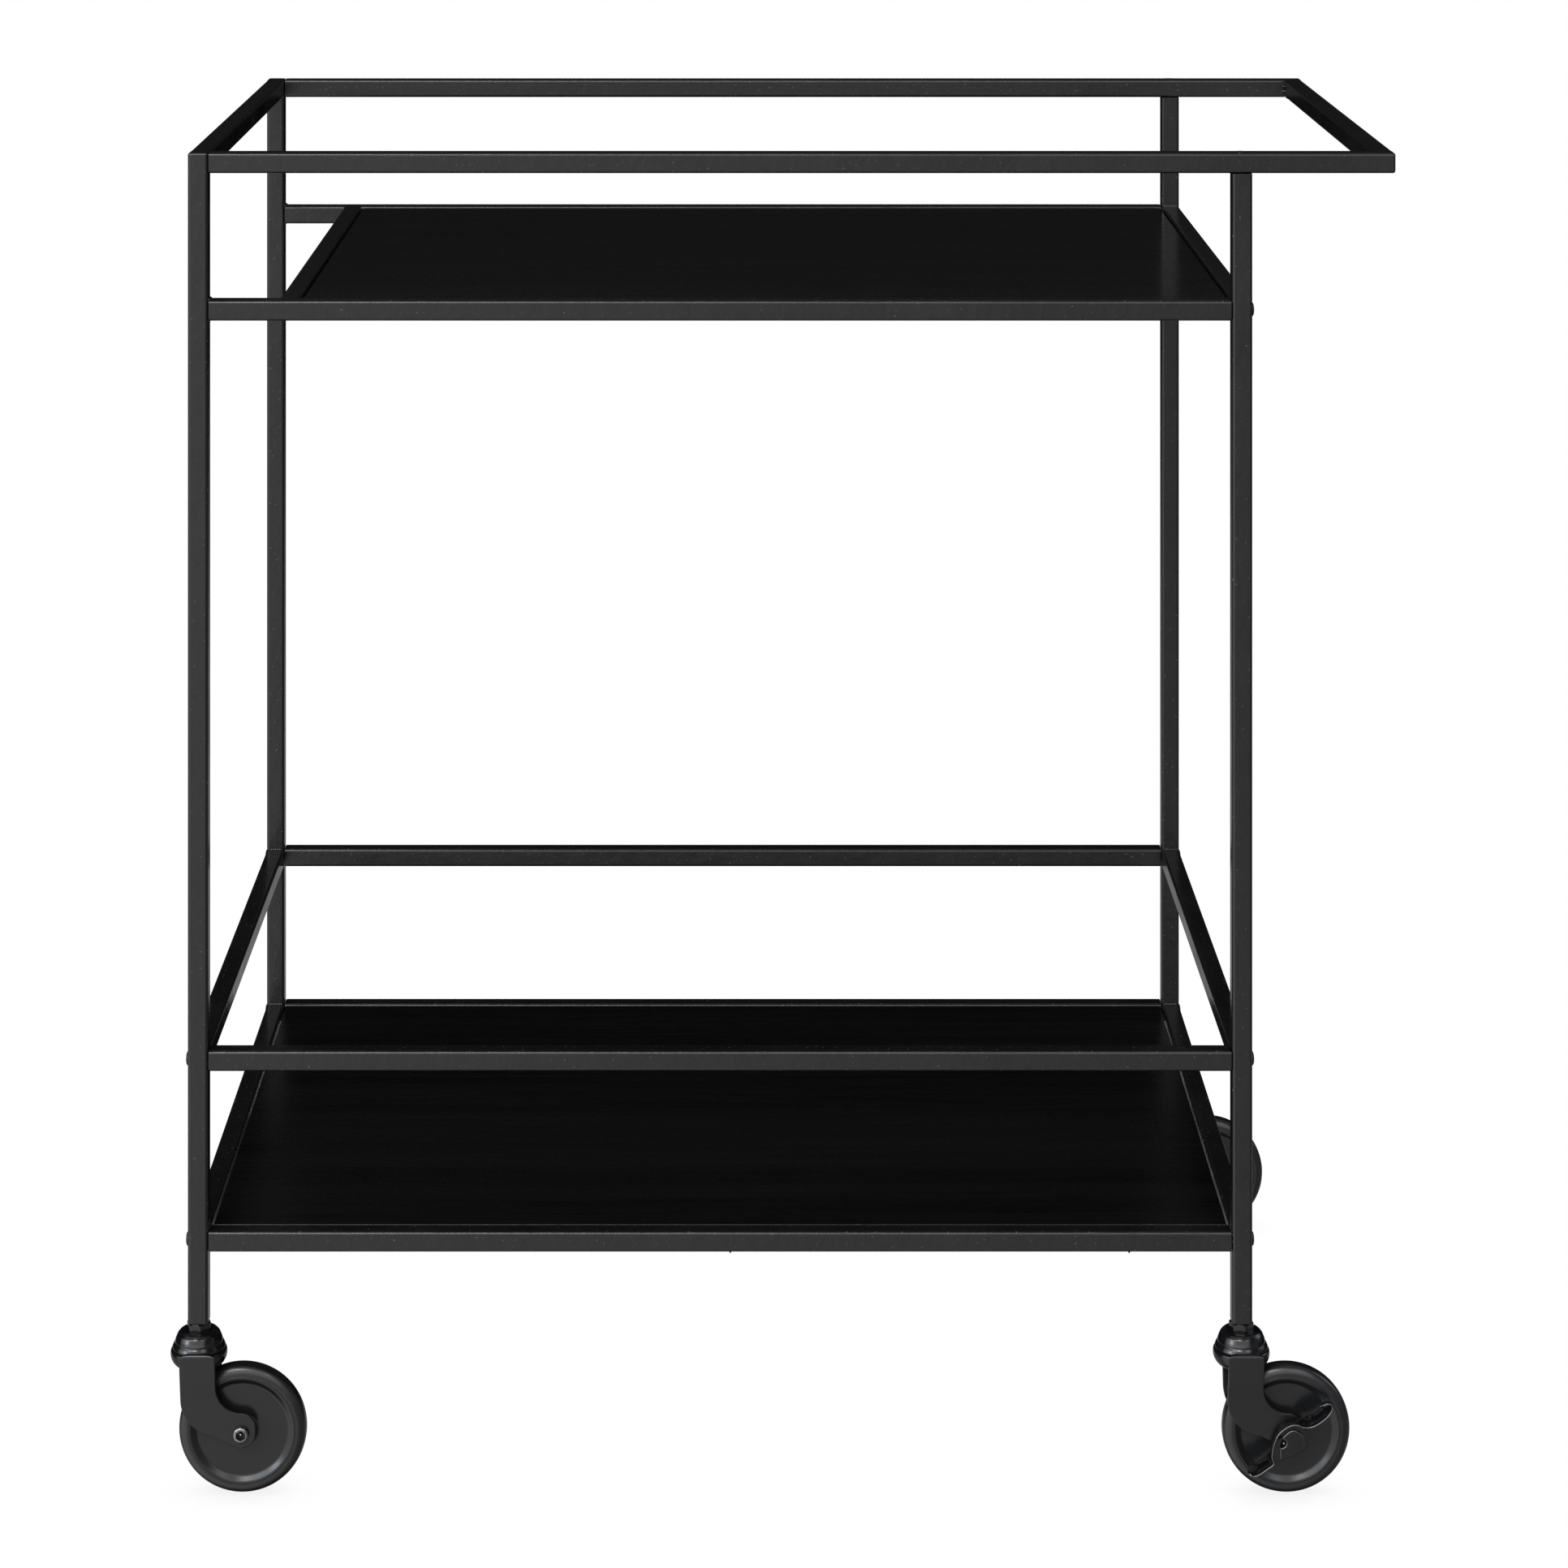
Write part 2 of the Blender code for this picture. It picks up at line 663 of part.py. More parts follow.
def make_fork(corner, swivel):
    """Lower race cup and two legs, pressed from one sheet."""
    name = f"caster_fork_{corner}"
    cup_wall = RACE_RADIUS - 0.0022
    bore = KINGPIN_RADIUS + RUNNING_GAP
    cup = [
        (RACE_RADIUS - 0.0014, RACE_TOP),
        (RACE_RADIUS, RACE_TOP - 0.0017),
        (RACE_RADIUS, RACE_BOTTOM + 0.0042),
        (RACE_RADIUS - 0.0014, RACE_BOTTOM + 0.0014),
        (RACE_RADIUS - 0.0038, RACE_BOTTOM),
        (bore, RACE_BOTTOM),
        (bore, RACE_BOTTOM + 0.0020),
        (cup_wall - 0.0020, RACE_BOTTOM + 0.0020),
        (cup_wall, RACE_BOTTOM + 0.0040),
        (cup_wall, RACE_TOP),
    ]
    fork = turned(name, cup, CASTER_STEPS, ring=True, parent=swivel)
    legs = []
    middle = LEG_INSIDE + LEG_THICKNESS / 2
    for outwards in (1, -1):
        leg = plate(
            f"{name}_leg",
            leg_outline(),
            LEG_THICKNESS,
            location=(0, -outwards * middle, 0),
            rotation=(math.pi / 2, 0, 0),
            parent=swivel,
        )
        spread_leg(leg, outwards)
        legs.append(leg)
    combine(fork, legs, "UNION")
    hole = rod(
        f"{name}_axle_hole",
        AXLE_RADIUS + RUNNING_GAP,
        (TRAIL, -2 * LEG_OUTSIDE, AXLE_HEIGHT),
        (TRAIL, 2 * LEG_OUTSIDE, AXLE_HEIGHT),
        CASTER_STEPS,
    )
    hole.parent = swivel
    inside = rod(
        f"{name}_race_room",
        cup_wall,
        (0, 0, RACE_BOTTOM + 0.0042),
        (0, 0, LEG_TOP + TUBE),
        CASTER_STEPS,
    )
    inside.parent = swivel
    cup_cover = rod(
        f"{name}_flange_room",
        RACE_RADIUS - 0.0012 + GAP,
        (0, 0, RACE_TOP),
        (0, 0, LEG_TOP + TUBE),
        CASTER_STEPS,
    )
    cup_cover.parent = swivel
    combine(fork, [hole, inside, cup_cover], "DIFFERENCE")
    smooth(fork)
    finish(fork, "caster_enamel")


def make_wheel(corner, axle):
    """Tyre and hub about the axle. Local +Z is the wheel's front side."""
    face_on = (math.pi / 2, 0, 0)
    half = WHEEL_HALF_WIDTH
    radius = WHEEL_RADIUS
    tread = [
        (radius - SHOULDER_RISE, half),
        (radius, half - SHOULDER_WIDTH),
        (radius, -half + SHOULDER_WIDTH),
        (radius - SHOULDER_RISE, -half),
        (TREAD_SEAT_RADIUS + GAP, -half),
        (TREAD_SEAT_RADIUS + GAP, half),
    ]
    tyre = turned(f"tyre_{corner}", tread, TYRE_STEPS, ring=True, rotation=face_on, parent=axle)
    smooth(tyre)
    finish(tyre, "tyre_rubber")
    bore = AXLE_RADIUS + RUNNING_GAP
    disc = half - DISC_DEPTH
    front = [(HUB_BOSS_RADIUS, HUB_HALF_WIDTH), (HUB_BOSS_RADIUS, disc), (DISC_RADIUS, disc), (RIM_RADIUS, half)]
    outer = [(TREAD_SEAT_RADIUS, half), (TREAD_SEAT_RADIUS, -half)]
    back = [(r, -height) for r, height in reversed(front)]
    profile = outer + back + [(bore, -HUB_HALF_WIDTH), (bore, HUB_HALF_WIDTH)] + front
    hub = turned(f"wheel_hub_{corner}", profile, HUB_STEPS, ring=True, rotation=face_on, parent=axle)
    smooth(hub)
    finish(hub, "hub_plastic")


def make_axle(corner, axle):
    """Bolt with its head at the front, and the nut behind."""
    head = LEG_OUTSIDE + SEAT_GAP
    tip = LEG_OUTSIDE + NUT_HEIGHT + 0.0015
    profile = [
        (0, head + AXLE_HEAD_HEIGHT),
        (AXLE_HEAD_RADIUS * 0.75, head + AXLE_HEAD_HEIGHT),
        (AXLE_HEAD_RADIUS, head + AXLE_HEAD_HEIGHT * 0.6),
        (AXLE_HEAD_RADIUS, head),
        (AXLE_RADIUS, head),
        (AXLE_RADIUS, -tip),
        (0, -tip),
    ]
    face_on = (math.pi / 2, 0, 0)
    bolt = turned(f"axle_bolt_{corner}", profile, CASTER_STEPS, rotation=face_on, parent=axle)
    smooth(bolt)
    finish(bolt, "black_steel")
    seat = LEG_OUTSIDE + SEAT_GAP
    nut = rod(f"axle_nut_{corner}", NUT_RADIUS, (0, seat, 0), (0, seat + NUT_HEIGHT, 0), 6)
    nut.parent = axle
    hole = rod(
        f"{nut.name}_hole", AXLE_RADIUS + RUNNING_GAP, (0, LEG_INSIDE, 0), (0, 2 * LEG_OUTSIDE, 0), CASTER_STEPS
    )
    hole.parent = axle
    combine(nut, [hole], "DIFFERENCE")
    finish(nut, "black_steel")


def rocker_half_width(u):
    """Half the rocker's width at a distance u along it: slim arms that swell into the body."""
    return ROCKER_ARM + ROCKER_BODY * math.exp(-((u / ROCKER_BODY_SPREAD) ** 2))


def along_rocker(start, end, steps):
    return [start + (end - start) * i / steps for i in range(steps + 1)]


def rocker_outline():
    along = along_rocker(ROCKER_TAIL, ROCKER_NOSE, 18)
    upper = [(u, rocker_half_width(u) - ROCKER_DROP) for u in along]
    lower = [(u, -rocker_half_width(u) - ROCKER_DROP) for u in reversed(along)]
    return upper + lower


def rim_outline():
    """The strip along the body's upper edge that is turned out as a stiffening rim."""
    outer = [(u, rocker_half_width(u) - ROCKER_DROP) for u in along_rocker(-0.013, 0.013, 8)]
    inner = [(u, v - ROCKER_THICKNESS) for u, v in reversed(outer)]
    return outer + inner


def make_brake(corner, axle):
    """Stamped rocker on the cam cap's neck, outside the fork's front leg."""
    name = f"brake_rocker_{corner}"
    placed = {"rotation": (math.pi / 2, -ROCKER_SLOPE, 0), "parent": axle}
    outside = -ROCKER_OFFSET
    middle = outside - ROCKER_THICKNESS / 2
    face = outside - ROCKER_THICKNESS
    rocker = plate(name, rocker_outline(), ROCKER_THICKNESS, location=(0, middle, 0), **placed)
    rim_middle = face - (RIM_REACH - WALL) / 2
    rim = plate(f"{name}_rim", rim_outline(), RIM_REACH + WALL, location=(0, rim_middle, 0), **placed)
    others = [rim]
    for tip, reach, inwards in ((ROCKER_NOSE, NOSE_TAB_REACH, -1), (ROCKER_TAIL, TAIL_TAB_REACH, 1)):
        low = -rocker_half_width(tip) - ROCKER_DROP
        high = rocker_half_width(tip) - ROCKER_DROP
        ends = sorted((tip, tip + inwards * ROCKER_THICKNESS))
        outline = [(ends[0], low), (ends[1], low), (ends[1], high), (ends[0], high)]
        tab_middle = face - (reach - WALL) / 2
        tab = plate(f"{name}_tab", outline, reach + WALL, location=(0, tab_middle, 0), **placed)
        others.append(tab)
    combine(rocker, others, "UNION")
    hole = rod(
        f"{name}_hole", NECK_RADIUS + RUNNING_GAP, (0, 0, 0), (0, -2 * ROCKER_OFFSET, 0), PIVOT_STEPS
    )
    hole.parent = axle
    combine(rocker, [hole], "DIFFERENCE")
    finish(rocker, "caster_enamel")
    make_cam_cap(corner, axle, face)


def make_cam_cap(corner, axle, rocker_face):
    """The block that keeps the rocker on: a neck over the axle bolt's head, and a cap outside the rocker."""
    name = f"brake_cam_{corner}"
    low = rocker_face - GAP
    reach = CAP_SIZE / 2
    cap = bar(name, (-reach, low - CAP_THICKNESS, -reach), (reach, low, reach), "Y", CAP_CORNER, 4)
    cap.parent = axle
    neck = rod(
        f"{name}_neck", NECK_RADIUS, (0, -LEG_OUTSIDE - SEAT_GAP, 0), (0, low - WALL, 0), PIVOT_STEPS
    )
    neck.parent = axle
    combine(cap, [neck], "UNION")
    room = rod(
        f"{name}_head_room",
        AXLE_HEAD_RADIUS + GAP,
        (0, 0, 0),
        (0, -LEG_OUTSIDE - SEAT_GAP - AXLE_HEAD_HEIGHT - GAP, 0),
        CASTER_STEPS,
    )
    room.parent = axle
    combine(cap, [room], "DIFFERENCE")
    finish(cap, "caster_enamel")


def empty(name, location, parent=None):
    obj = bpy.data.objects.new(name, None)
    obj.location = location
    obj.parent = parent
    part.objects.link(obj)
    return obj


def make_caster(corner, x, y):
    swivel = empty(f"swivel_axis_{corner}", (x, y, 0))
    axle = empty(f"axle_axis_{corner}", (TRAIL, 0, AXLE_HEIGHT), swivel)
    make_leg_plug(corner, x, y)
    make_stem(corner, swivel)
    make_balls(corner, swivel)
    make_fork(corner, swivel)
    make_wheel(corner, axle)
    make_axle(corner, axle)
    if corner in BRAKED:
        make_brake(corner, axle)


clear_scene()
finishes = make_finishes()
make_end_frames()
make_lower_rails()
make_upper_shelf_frame()
make_top_rail()
make_panel("upper_shelf_panel", CROSS_RAIL + TUBE, UPPER_SHELF_TOP)
make_panel("lower_shelf_panel", LEFT + TUBE, LOWER_SHELF_TOP)
make_frame_screws()
for depth, post_y in POSTS_Y.items():
    for end, post_x in POSTS_X.items():
        make_caster(f"{depth}_{end}", post_x, post_y)
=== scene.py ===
"""Serving cart: the look of its surfaces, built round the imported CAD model.

Metres, +Z up, +X towards the handle and -Y towards the front. Places come from the CAD nodes' boxes.
"""

import math
import random

import bmesh
import bpy
from mathutils import Matrix, Vector


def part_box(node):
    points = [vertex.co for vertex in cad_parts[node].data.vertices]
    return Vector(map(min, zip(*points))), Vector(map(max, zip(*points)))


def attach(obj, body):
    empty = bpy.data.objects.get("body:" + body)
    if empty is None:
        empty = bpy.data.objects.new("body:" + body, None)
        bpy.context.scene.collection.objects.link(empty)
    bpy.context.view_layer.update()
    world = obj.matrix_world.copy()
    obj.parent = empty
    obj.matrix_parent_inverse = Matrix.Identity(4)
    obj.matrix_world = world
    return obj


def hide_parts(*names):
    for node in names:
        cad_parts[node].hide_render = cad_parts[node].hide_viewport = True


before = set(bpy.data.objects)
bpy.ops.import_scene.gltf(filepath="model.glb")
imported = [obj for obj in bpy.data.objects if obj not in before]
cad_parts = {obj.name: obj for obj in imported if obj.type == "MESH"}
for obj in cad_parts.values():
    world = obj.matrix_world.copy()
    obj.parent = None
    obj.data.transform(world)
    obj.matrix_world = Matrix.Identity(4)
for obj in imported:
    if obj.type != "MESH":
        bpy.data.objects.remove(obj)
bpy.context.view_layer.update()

MM = 0.001

# Rounding of the tubes' long edges, of plain cut ends, and of ends that were welded shut and ground
TUBE_CORNER = 1.8 * MM
CUT_END = 0.25 * MM
GROUND_END = 1.35 * MM
LAP = 1.65 * MM
BEAD = 1.1 * MM

# Shelf panels
PANEL_GAP = 1.5 * MM
PANEL_ARRIS = 0.55 * MM
TAB_PLACES = (0.12, 0.5, 0.88)
TAB_SIZE = (20 * MM, 12 * MM, 1.6 * MM)
DRIP_PLACES = (0.51, 0.90)

# Each panel's grain seed, smoothest and roughest finish, and the lacquer's index of refraction
PANEL_LOOKS = {
    "upper_shelf_panel": (3.1, 0.11, 0.20, 1.51),
    "lower_shelf_panel": (8.8, 0.20, 0.29, 1.42),
}

# Screws
HEAD_RADIUS = 4.2 * MM
HEAD_HEIGHT = 1.3 * MM
SOCKET = 3.0 * MM

# Casters, about a swivel axis that stands on the floor
TRAIL = 26 * MM
AXLE_HEIGHT = 37.5 * MM
LEG_INSIDE = 8.4 * MM
LEG_THICKNESS = 2 * MM
LEG_OUTSIDE = LEG_INSIDE + LEG_THICKNESS
LEG_SPREAD = 6.5 * MM
HEX_TURN = math.radians(17)
HEX_STEPS = 72
ROCKER_FACE = 12.9 * MM
ROCKER_SLOPE = math.radians(37.5)

DEPTHS = ("front", "rear")
BRAKED = ("front_right", "rear_left")

# Camera
CAMERA_PLACE = (-0.0248, -2.516, 1.0863)
CAMERA_LENS = 90.63
CAMERA_SHIFT = (0.02795, -0.7277)

# Softboxes for reflections: direction with the camera looking along +Y, sharpness and power
WHITE_SOFTBOX = ((-0.20, -0.63, 0.74), 85.0, 15.0)
COOL_SOFTBOXES = (
    ((0.36, -0.64, 0.68), 85.0, 4.0),
    ((-0.52, -0.60, 0.61), 85.0, 8.0),
    ((-0.78, -0.53, 0.34), 85.0, 10.0),
    ((0.85, 0.25, 0.45), 30.0, 2.5),
)


# Node helpers


class Nodes:
    """Adds nodes to one shader tree, wiring inputs by name."""

    def __init__(self, tree):
        self.tree = tree
        tree.nodes.clear()

    def add(self, kind, inputs=None, **settings):
        """Adds a node. An input that is a socket is linked, and any other is set."""
        node = self.tree.nodes.new(kind)
        for key, value in settings.items():
            setattr(node, key, value)
        for key, value in (inputs or {}).items():
            if isinstance(value, bpy.types.NodeSocket):
                self.tree.links.new(value, node.inputs[key])
            else:
                node.inputs[key].default_value = value
        return node

    def math(self, operation, a, b=0.0):
        return self.add("ShaderNodeMath", {0: a, 1: b}, operation=operation).outputs[0]

    def vector_math(self, operation, a, b):
        return self.add("ShaderNodeVectorMath", {0: a, 1: b}, operation=operation)

    def span(self, value, low, high, to_low=0.0, to_high=1.0, smooth=False):
        kind = "SMOOTHSTEP" if smooth else "LINEAR"
        inputs = {"Value": value, "From Min": low, "From Max": high, "To Min": to_low, "To Max": to_high}
        return self.add("ShaderNodeMapRange", inputs, interpolation_type=kind).outputs[0]

    def mix(self, factor, a, b):
        """A mix of two colours. Each may be a socket or a plain (r, g, b)."""
        node = self.add("ShaderNodeMix", data_type="RGBA")
        for socket, value in ((node.inputs[0], factor), (node.inputs[6], a), (node.inputs[7], b)):
            if isinstance(value, bpy.types.NodeSocket):
                self.tree.links.new(value, socket)
            else:
                socket.default_value = value if isinstance(value, float) else (*value, 1)
        return node.outputs[2]

    def noise(self, vector, scale, detail=2.0, roughness=0.5, distortion=0.0):
        inputs = {
            "Vector": vector,
            "Scale": scale,
            "Detail": detail,
            "Roughness": roughness,
            "Distortion": distortion,
        }
        return self.add("ShaderNodeTexNoise", inputs).outputs["Fac"]

    def bump(self, height, distance, strength, normal=None):
        inputs = {"Height": height, "Distance": distance, "Strength": strength}
        if normal:
            inputs["Normal"] = normal
        return self.add("ShaderNodeBump", inputs).outputs[0]


def new_material(name):
    material = bpy.data.materials.new(name)
    material.use_nodes = True
    nodes = Nodes(material.node_tree)
    place = nodes.add("ShaderNodeTexCoord").outputs["Object"]
    return material, nodes, place


def surface(nodes, **inputs):
    """Ends a material with a Principled shader, whose inputs are named in snake case."""
    named = {key.replace("_", " ").title().replace("Ior", "IOR"): value for key, value in inputs.items()}
    shader = nodes.add("ShaderNodeBsdfPrincipled", named)
    nodes.add("ShaderNodeOutputMaterial", {"Surface": shader.outputs[0]})


# Materials


def powder_coat():
    """Satin black powder coat: orange peel, slight mottling, rubbed patches and sparse pale specks."""
    material, nodes, place = new_material("powder_coat_satin_black")
    mottling = nodes.noise(place, 22, 3, 0.6)
    drawn = nodes.noise(place, 85, 3, 0.6)
    peel = nodes.noise(place, 850, 2, 0.55)
    grit = nodes.noise(place, 3600, 1, 0.5)
    specks = nodes.span(nodes.noise(place, 520, 0, 0.4), 0.775, 0.81)
    rubbed = nodes.span(nodes.noise(place, 60, 5, 0.7, 0.6), 0.64, 0.78)
    colour = nodes.mix(mottling, (0.0036, 0.0036, 0.0038), (0.0060, 0.0060, 0.0063))
    colour = nodes.mix(nodes.math("MULTIPLY", specks, 0.35), colour, (0.10, 0.10, 0.10))
    roughness = nodes.span(mottling, 0.3, 0.7, 0.18, 0.29)
    roughness = nodes.math("SUBTRACT", roughness, nodes.math("MULTIPLY", rubbed, 0.06))
    normal = nodes.bump(drawn, 1.0 * MM, 0.28)
    normal = nodes.bump(peel, 0.05 * MM, 0.35, normal)
    normal = nodes.bump(grit, 0.012 * MM, 0.25, normal)
    surface(nodes, base_color=colour, roughness=roughness, ior=1.5, normal=normal)
    return material


def black_veneer(name, seed, smoothest, roughest, ior):
    """Black-stained oak: figure, streaks and open pores along X under a satin lacquer."""
    material, nodes, place = new_material(name)
    moved = nodes.vector_math("ADD", place, (seed, seed * 0.37, 0)).outputs[0]
    drift = nodes.noise(moved, 3.2, 2, 0.5)
    bend = nodes.add("ShaderNodeCombineXYZ", {"Y": nodes.math("MULTIPLY", drift, 0.035)}).outputs[0]
    bent = nodes.vector_math("ADD", moved, bend).outputs[0]

    def stretched(along, across):
        return nodes.vector_math("MULTIPLY", bent, (along, across, across)).outputs[0]

    figure = nodes.noise(stretched(1.6, 34), 1, 4, 0.62)
    streaks = nodes.noise(stretched(7, 420), 1, 4, 0.65)
    pores = nodes.span(nodes.noise(stretched(75, 1700), 1, 2, 0.6), 0.60, 0.70)
    dashes = nodes.span(nodes.noise(stretched(26, 640), 1, 1, 0.5), 0.66, 0.72)
    grain = nodes.math("ADD", nodes.math("MULTIPLY", figure, 0.55), nodes.math("MULTIPLY", streaks, 0.45))
    colour = nodes.mix(nodes.span(grain, 0.36, 0.64), (0.0009, 0.0009, 0.0009), (0.0032, 0.0031, 0.0030))
    colour = nodes.mix(nodes.math("MULTIPLY", pores, 0.7), colour, (0.0006, 0.0006, 0.0006))
    roughness = nodes.span(grain, 0.3, 0.7, smoothest, roughest)
    roughness = nodes.math("ADD", roughness, nodes.math("MULTIPLY", pores, 0.15))
    normal = nodes.bump(nodes.math("SUBTRACT", 1.0, pores), 0.05 * MM, 0.24)
    normal = nodes.bump(streaks, 0.06 * MM, 0.11, normal)
    normal = nodes.bump(nodes.math("SUBTRACT", 1.0, dashes), 0.07 * MM, 0.45, normal)
    surface(nodes, base_color=colour, roughness=roughness, ior=ior, normal=normal)
    return material


def enamel(name, low, high, roughness, wave=0.10):
    """Dipped black enamel: slightly wavy, with soft scuffs."""
    material, nodes, place = new_material(name)
    mottling = nodes.noise(place, 70, 3, 0.6)
    waves = nodes.noise(place, 160, 1, 0.4)
    grit = nodes.noise(place, 1500, 2, 0.5)
    scuffs = nodes.span(nodes.noise(place, 240, 6, 0.72, 1.2), 0.60, 0.76)
    colour = nodes.mix(mottling, low, high)
    spread = nodes.span(mottling, 0.3, 0.7, roughness * 0.85, roughness * 1.2)
    spread = nodes.math("ADD", spread, nodes.math("MULTIPLY", scuffs, 0.12))
    normal = nodes.bump(waves, 0.12 * MM, wave)
    normal = nodes.bump(grit, 0.010 * MM, 0.20, normal)
    surface(nodes, base_color=colour, roughness=spread, ior=1.46, normal=normal)
    return material


def tyre_rubber():
    """Hard black rubber, faintly mottled, with a little dust."""
    material, nodes, place = new_material("tyre_rubber_black")
    mottling = nodes.noise(place, 90, 4, 0.65)
    grit = nodes.noise(place, 1900, 2, 0.6)
    dust = nodes.span(nodes.noise(place, 330, 3, 0.6), 0.62, 0.74)
    colour = nodes.mix(mottling, (0.0050, 0.0050, 0.0053), (0.0085, 0.0085, 0.0090))
    colour = nodes.mix(nodes.math("MULTIPLY", dust, 0.10), colour, (0.10, 0.10, 0.095))
    roughness = nodes.span(mottling, 0.3, 0.7, 0.23, 0.33)
    normal = nodes.bump(grit, 0.02 * MM, 0.25)
    surface(nodes, base_color=colour, roughness=roughness, ior=1.52, normal=normal)
    return material


def hub_plastic():
    """Moulded black plastic with a satin, finely textured face."""
    material, nodes, place = new_material("hub_plastic_black")
    mottling = nodes.noise(place, 40, 3, 0.55)
    grain = nodes.noise(place, 1400, 2, 0.5)
    scuffs = nodes.span(nodes.noise(place, 200, 6, 0.75, 1.0), 0.58, 0.72)
    colour = nodes.mix(mottling, (0.0055, 0.0056, 0.0060), (0.0090, 0.0092, 0.0097))
    roughness = nodes.span(mottling, 0.3, 0.7, 0.19, 0.25)
    roughness = nodes.math("ADD", roughness, nodes.math("MULTIPLY", scuffs, 0.08))
    normal = nodes.bump(grain, 0.02 * MM, 0.20)
    surface(nodes, base_color=colour, roughness=roughness, ior=1.435, normal=normal)
    return material


def steel(name, low, high, roughness):
    """Turned or blackened steel with fine tool marks."""
    material, nodes, place = new_material(name)
    mottling = nodes.noise(place, 300, 3, 0.6)
    marks = nodes.noise(place, 2600, 2, 0.6)
    colour = nodes.mix(mottling, low, high)
    spread = nodes.span(mottling, 0.3, 0.7, roughness * 0.8, roughness * 1.25)
    normal = nodes.bump(marks, 0.01 * MM, 0.25)
    surface(nodes, base_color=colour, roughness=spread, metallic=1.0, normal=normal)
    return material


def nylon():
    """Dull black nylon with a fine grain."""
    material, nodes, place = new_material("plug_nylon_black")
    grain = nodes.noise(place, 900, 2, 0.6)
    colour = nodes.mix(grain, (0.010, 0.010, 0.010), (0.018, 0.018, 0.018))
    surface(nodes, base_color=colour, roughness=0.55, normal=nodes.bump(grain, 0.03 * MM, 0.3))
    return material


# Geometry helpers


def join(shape, piece):
    """Adds one bmesh to another."""
    held = bpy.data.meshes.new("held")
    piece.to_mesh(held)
    piece.free()
    shape.from_mesh(held)
    bpy.data.meshes.remove(held)


def slab(shape, low, high, edge):
    """Adds a box whose edges are all rounded alike."""
    low, high = Vector(low), Vector(high)
    piece = bmesh.new()
    bmesh.ops.create_cube(piece, size=1)
    bmesh.ops.scale(piece, vec=high - low, verts=piece.verts)
    bmesh.ops.translate(piece, vec=(low + high) / 2, verts=piece.verts)
    bmesh.ops.bevel(piece, geom=piece.edges[:], offset=edge, segments=3, profile=0.5, affect="EDGES")
    join(shape, piece)


def tube(shape, low, high, along, ends=(CUT_END, CUT_END)):
    """Adds a length of square tube: rounded long edges, and each end rounded by its own radius."""
    axis = "XYZ".index(along)
    across = [i for i in range(3) if i != axis]
    centre = [(low[i] + high[i]) / 2 for i in across]
    half = [(high[i] - low[i]) / 2 for i in across]
    end_steps, corner_steps = 6, 7
    levels = []
    for i in range(end_steps + 1):
        angle = math.pi / 2 * i / end_steps
        levels.append((low[axis] + ends[0] * (1 - math.cos(angle)), ends[0] * (1 - math.sin(angle))))
    for i in range(end_steps, -1, -1):
        angle = math.pi / 2 * i / end_steps
        levels.append((high[axis] - ends[1] * (1 - math.cos(angle)), ends[1] * (1 - math.sin(angle))))
    rings = []
    for level, inset in levels:
        ring = []
        for corner, signs in enumerate(((1, 1), (-1, 1), (-1, -1), (1, -1))):
            for k in range(corner_steps + 1):
                angle = math.pi / 2 * (corner + k / corner_steps)
                place = [0, 0, 0]
                place[axis] = level
                for j, turn in enumerate((math.cos(angle), math.sin(angle))):
                    reach = (half[j] - TUBE_CORNER) * signs[j] + (TUBE_CORNER - inset) * turn
                    place[across[j]] = centre[j] + reach
                ring.append(shape.verts.new(place))
        rings.append(ring)
    skin(shape, rings)
    shape.faces.new(list(reversed(rings[0])))
    shape.faces.new(rings[-1])


def bead(shape, start, end, radius, seed, relief=0.15):
    """Adds a weld bead: a round strip of overlapping ripples with rounded ends."""
    draw = random.Random(seed)
    start, end = Vector(start), Vector(end)
    length = (end - start).length
    turn = (end - start).to_track_quat("Z", "Y")
    steps = max(14, round(length / (0.28 * MM)))
    sides = 12
    phase = draw.uniform(0, 2 * math.pi)
    rings = []
    for i in range(steps + 1):
        along = length * i / steps
        near = min(along, length - along, radius) / radius
        taper = math.sqrt(max(1 - (1 - near) ** 2, 0.01))
        wave = math.sin(along * math.pi / (radius * 0.8) + phase)
        reach = radius * taper * (1 + relief * wave + draw.uniform(-0.04, 0.04))
        ring = []
        for k in range(sides):
            angle = 2 * math.pi * k / sides
            offset = Vector((reach * math.cos(angle), reach * math.sin(angle), along))
            ring.append(shape.verts.new(start + turn @ offset))
        rings.append(ring)
    skin(shape, rings)
    shape.faces.new(list(reversed(rings[0])))
    shape.faces.new(rings[-1])


def soften(profile, radius, closed=False, steps=4):
    """Rounds the corners of a profile, with curves that start the given distance from each corner."""
    count = len(profile)
    softened = []
    for i, (x, y) in enumerate(profile):
        if not closed and i in (0, count - 1):
            softened.append((x, y))
            continue
        corner = Vector((x, y))
        before = Vector(profile[i - 1]) - corner
        after = Vector(profile[(i + 1) % count]) - corner
        start = corner + before.normalized() * min(radius, before.length * 0.45)
        end = corner + after.normalized() * min(radius, after.length * 0.45)
        for k in range(steps + 1):
            t = k / steps
            softened.append(tuple(start * (1 - t) ** 2 + corner * (2 * t * (1 - t)) + end * t**2))
    return softened


def skin(shape, rings, closed=False):
    """Joins rings of vertices. A ring of one vertex is a pole."""
    pairs = list(zip(rings, rings[1:]))
    if closed:
        pairs.append((rings[-1], rings[0]))
    for a, b in pairs:
        count = max(len(a), len(b))
        for i in range(count):
            j = (i + 1) % count
            if len(a) == 1:
                shape.faces.new((a[0], b[j], b[i]))
            elif len(b) == 1:
                shape.faces.new((a[i], a[j], b[0]))
            else:
                shape.faces.new((a[i], a[j], b[j], b[i]))


